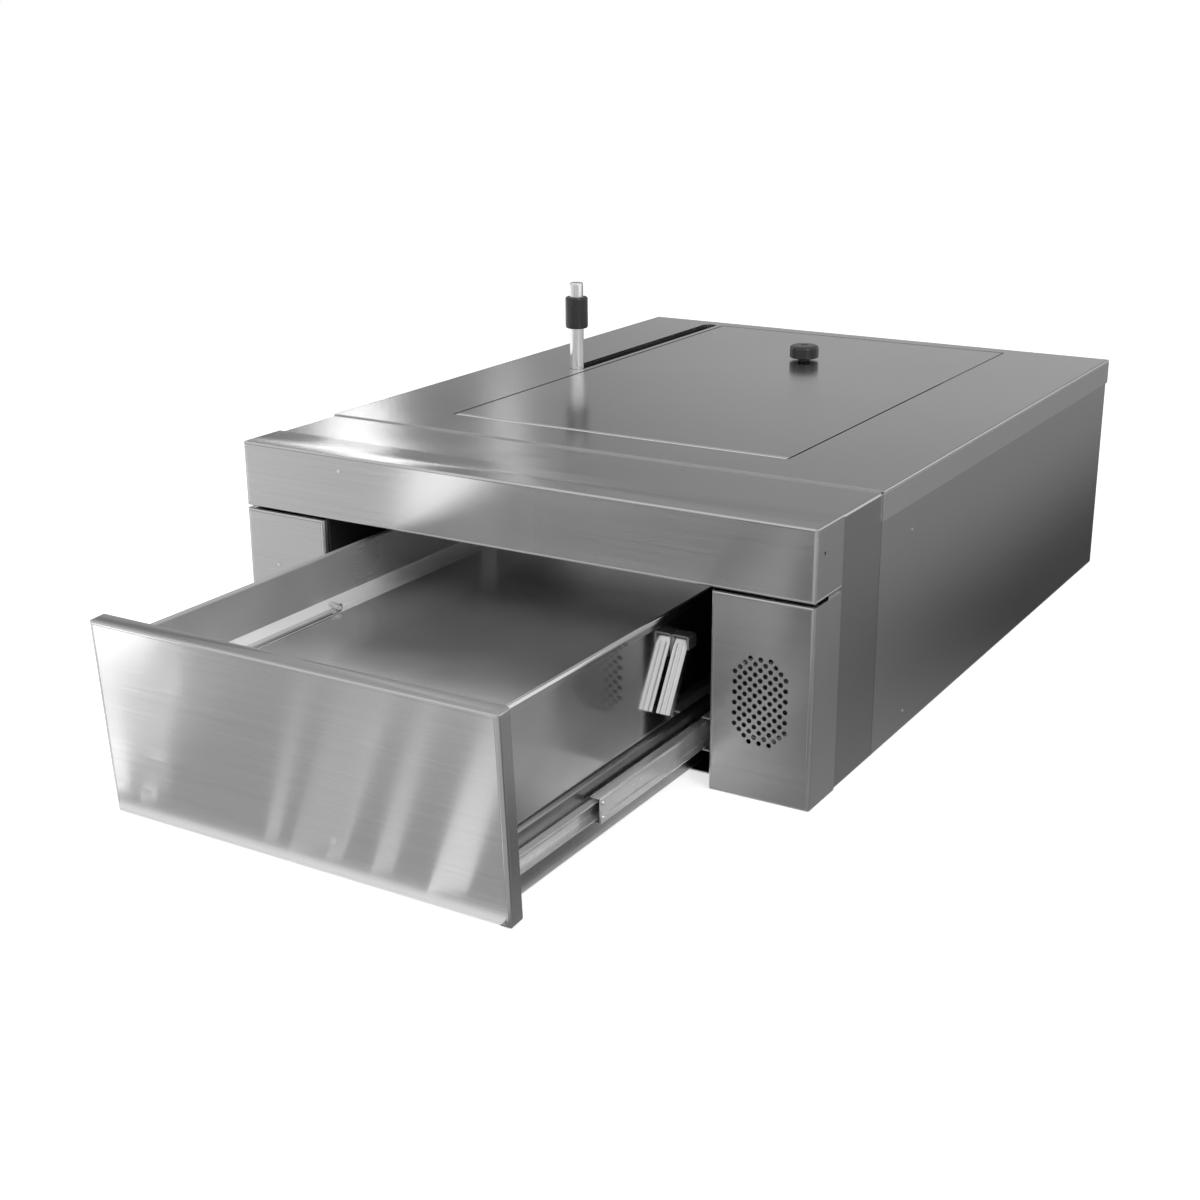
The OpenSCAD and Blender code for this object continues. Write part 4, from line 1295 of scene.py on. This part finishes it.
@dataclass
class Studio:
    """Pale floor, soft lamps, white surround and the photograph's camera."""

    eye: Point = (0.8625, -1.6892, 0.6539)
    yaw: float = 31.10
    pitch: float = 18.64
    roll: float = -0.24
    lens: float = 53.30
    sensor: float = 36.0
    nearest: float = 0.02
    floor_size: float = 60.0
    floor_height: float = -0.0002
    floor_tone: float = 0.80
    floor_glow: float = 0.66
    sky: float = 0.5

    def camera(self) -> None:
        """Set the camera where the photograph was taken from."""
        data = bpy.data.cameras.new("photo_camera")
        data.lens = self.lens
        data.sensor_width = self.sensor
        data.clip_start = self.nearest
        camera = bpy.data.objects.new("photo_camera", data)
        aim = Matrix.Translation(self.eye)
        for angle, axis in ((self.yaw, "Z"), (90.0 - self.pitch, "X"), (self.roll, "Z")):
            aim = aim @ Matrix.Rotation(math.radians(angle), 4, axis)
        camera.matrix_world = aim
        bpy.context.scene.collection.objects.link(camera)
        bpy.context.scene.camera = camera

    def floor(self) -> None:
        """Lay the floor: pale under the lamps, and white to the camera and to mirrors."""
        Bench.clear()
        bpy.ops.mesh.primitive_plane_add(size=self.floor_size, location=(0.0, 0.0, self.floor_height))
        floor = bpy.context.object
        floor.name = "studio_floor"
        sheet = NodeSheet("floor_pale")
        seen, mirrored, passed = (sheet.add("ShaderNodeLightPath", {}, {}, f"Is {kind} Ray")
                                  for kind in ("Camera", "Glossy", "Transmission"))
        glow = sheet.grey((seen + mirrored + passed).clipped(), 0.0, self.floor_glow)
        sheet.set(Base_Color=(*(self.floor_tone,) * 3, 1.0), Roughness=1.0, Specular_IOR_Level=0.0,
                  Emission_Color=glow, Emission_Strength=1.0)
        floor.data.materials.append(sheet.material)

    def surround(self) -> None:
        """Light the world evenly, white to the camera and to mirrors."""
        world = bpy.data.worlds.new("studio_world")
        bpy.context.scene.world = world
        world.use_nodes = True
        nodes, links = world.node_tree.nodes, world.node_tree.links
        nodes.clear()
        path = nodes.new("ShaderNodeLightPath")
        seen = path.outputs["Is Camera Ray"]
        for kind in ("Is Glossy Ray", "Is Transmission Ray"):
            either = nodes.new("ShaderNodeMath")
            either.operation = "MAXIMUM"
            links.new(seen, either.inputs[0])
            links.new(path.outputs[kind], either.inputs[1])
            seen = either.outputs[0]
        mix = nodes.new("ShaderNodeMixShader")
        links.new(seen, mix.inputs["Fac"])
        # The mix takes the even light first and then the white that is seen.
        for place, strength in ((1, self.sky), (2, 1.0)):
            light = nodes.new("ShaderNodeBackground")
            light.inputs["Color"].default_value = (1.0, 1.0, 1.0, 1.0)
            light.inputs["Strength"].default_value = strength
            links.new(light.outputs[0], mix.inputs[place])
        out = nodes.new("ShaderNodeOutputWorld")
        links.new(mix.outputs[0], out.inputs["Surface"])

    def build(self) -> None:
        """Set up the whole studio."""
        self.camera()
        self.floor()
        self.surround()
        for piece in SOFT_BOXES + CARDS + STRIPS:
            piece.build()
        bpy.context.scene.view_settings.view_transform = "Standard"


def main() -> None:
    """Build every sub-assembly in order and report each piece."""
    logging.basicConfig(level=logging.INFO, format="%(message)s")
    for assembly in (Casing(), Speaker(), Lid(), OperatingRod(), TrayDrawer(), Slides(), Studio()):
        LOG.info("building %s", type(assembly).__name__)
        assembly.build()


if __name__ == "__main__":
    main()
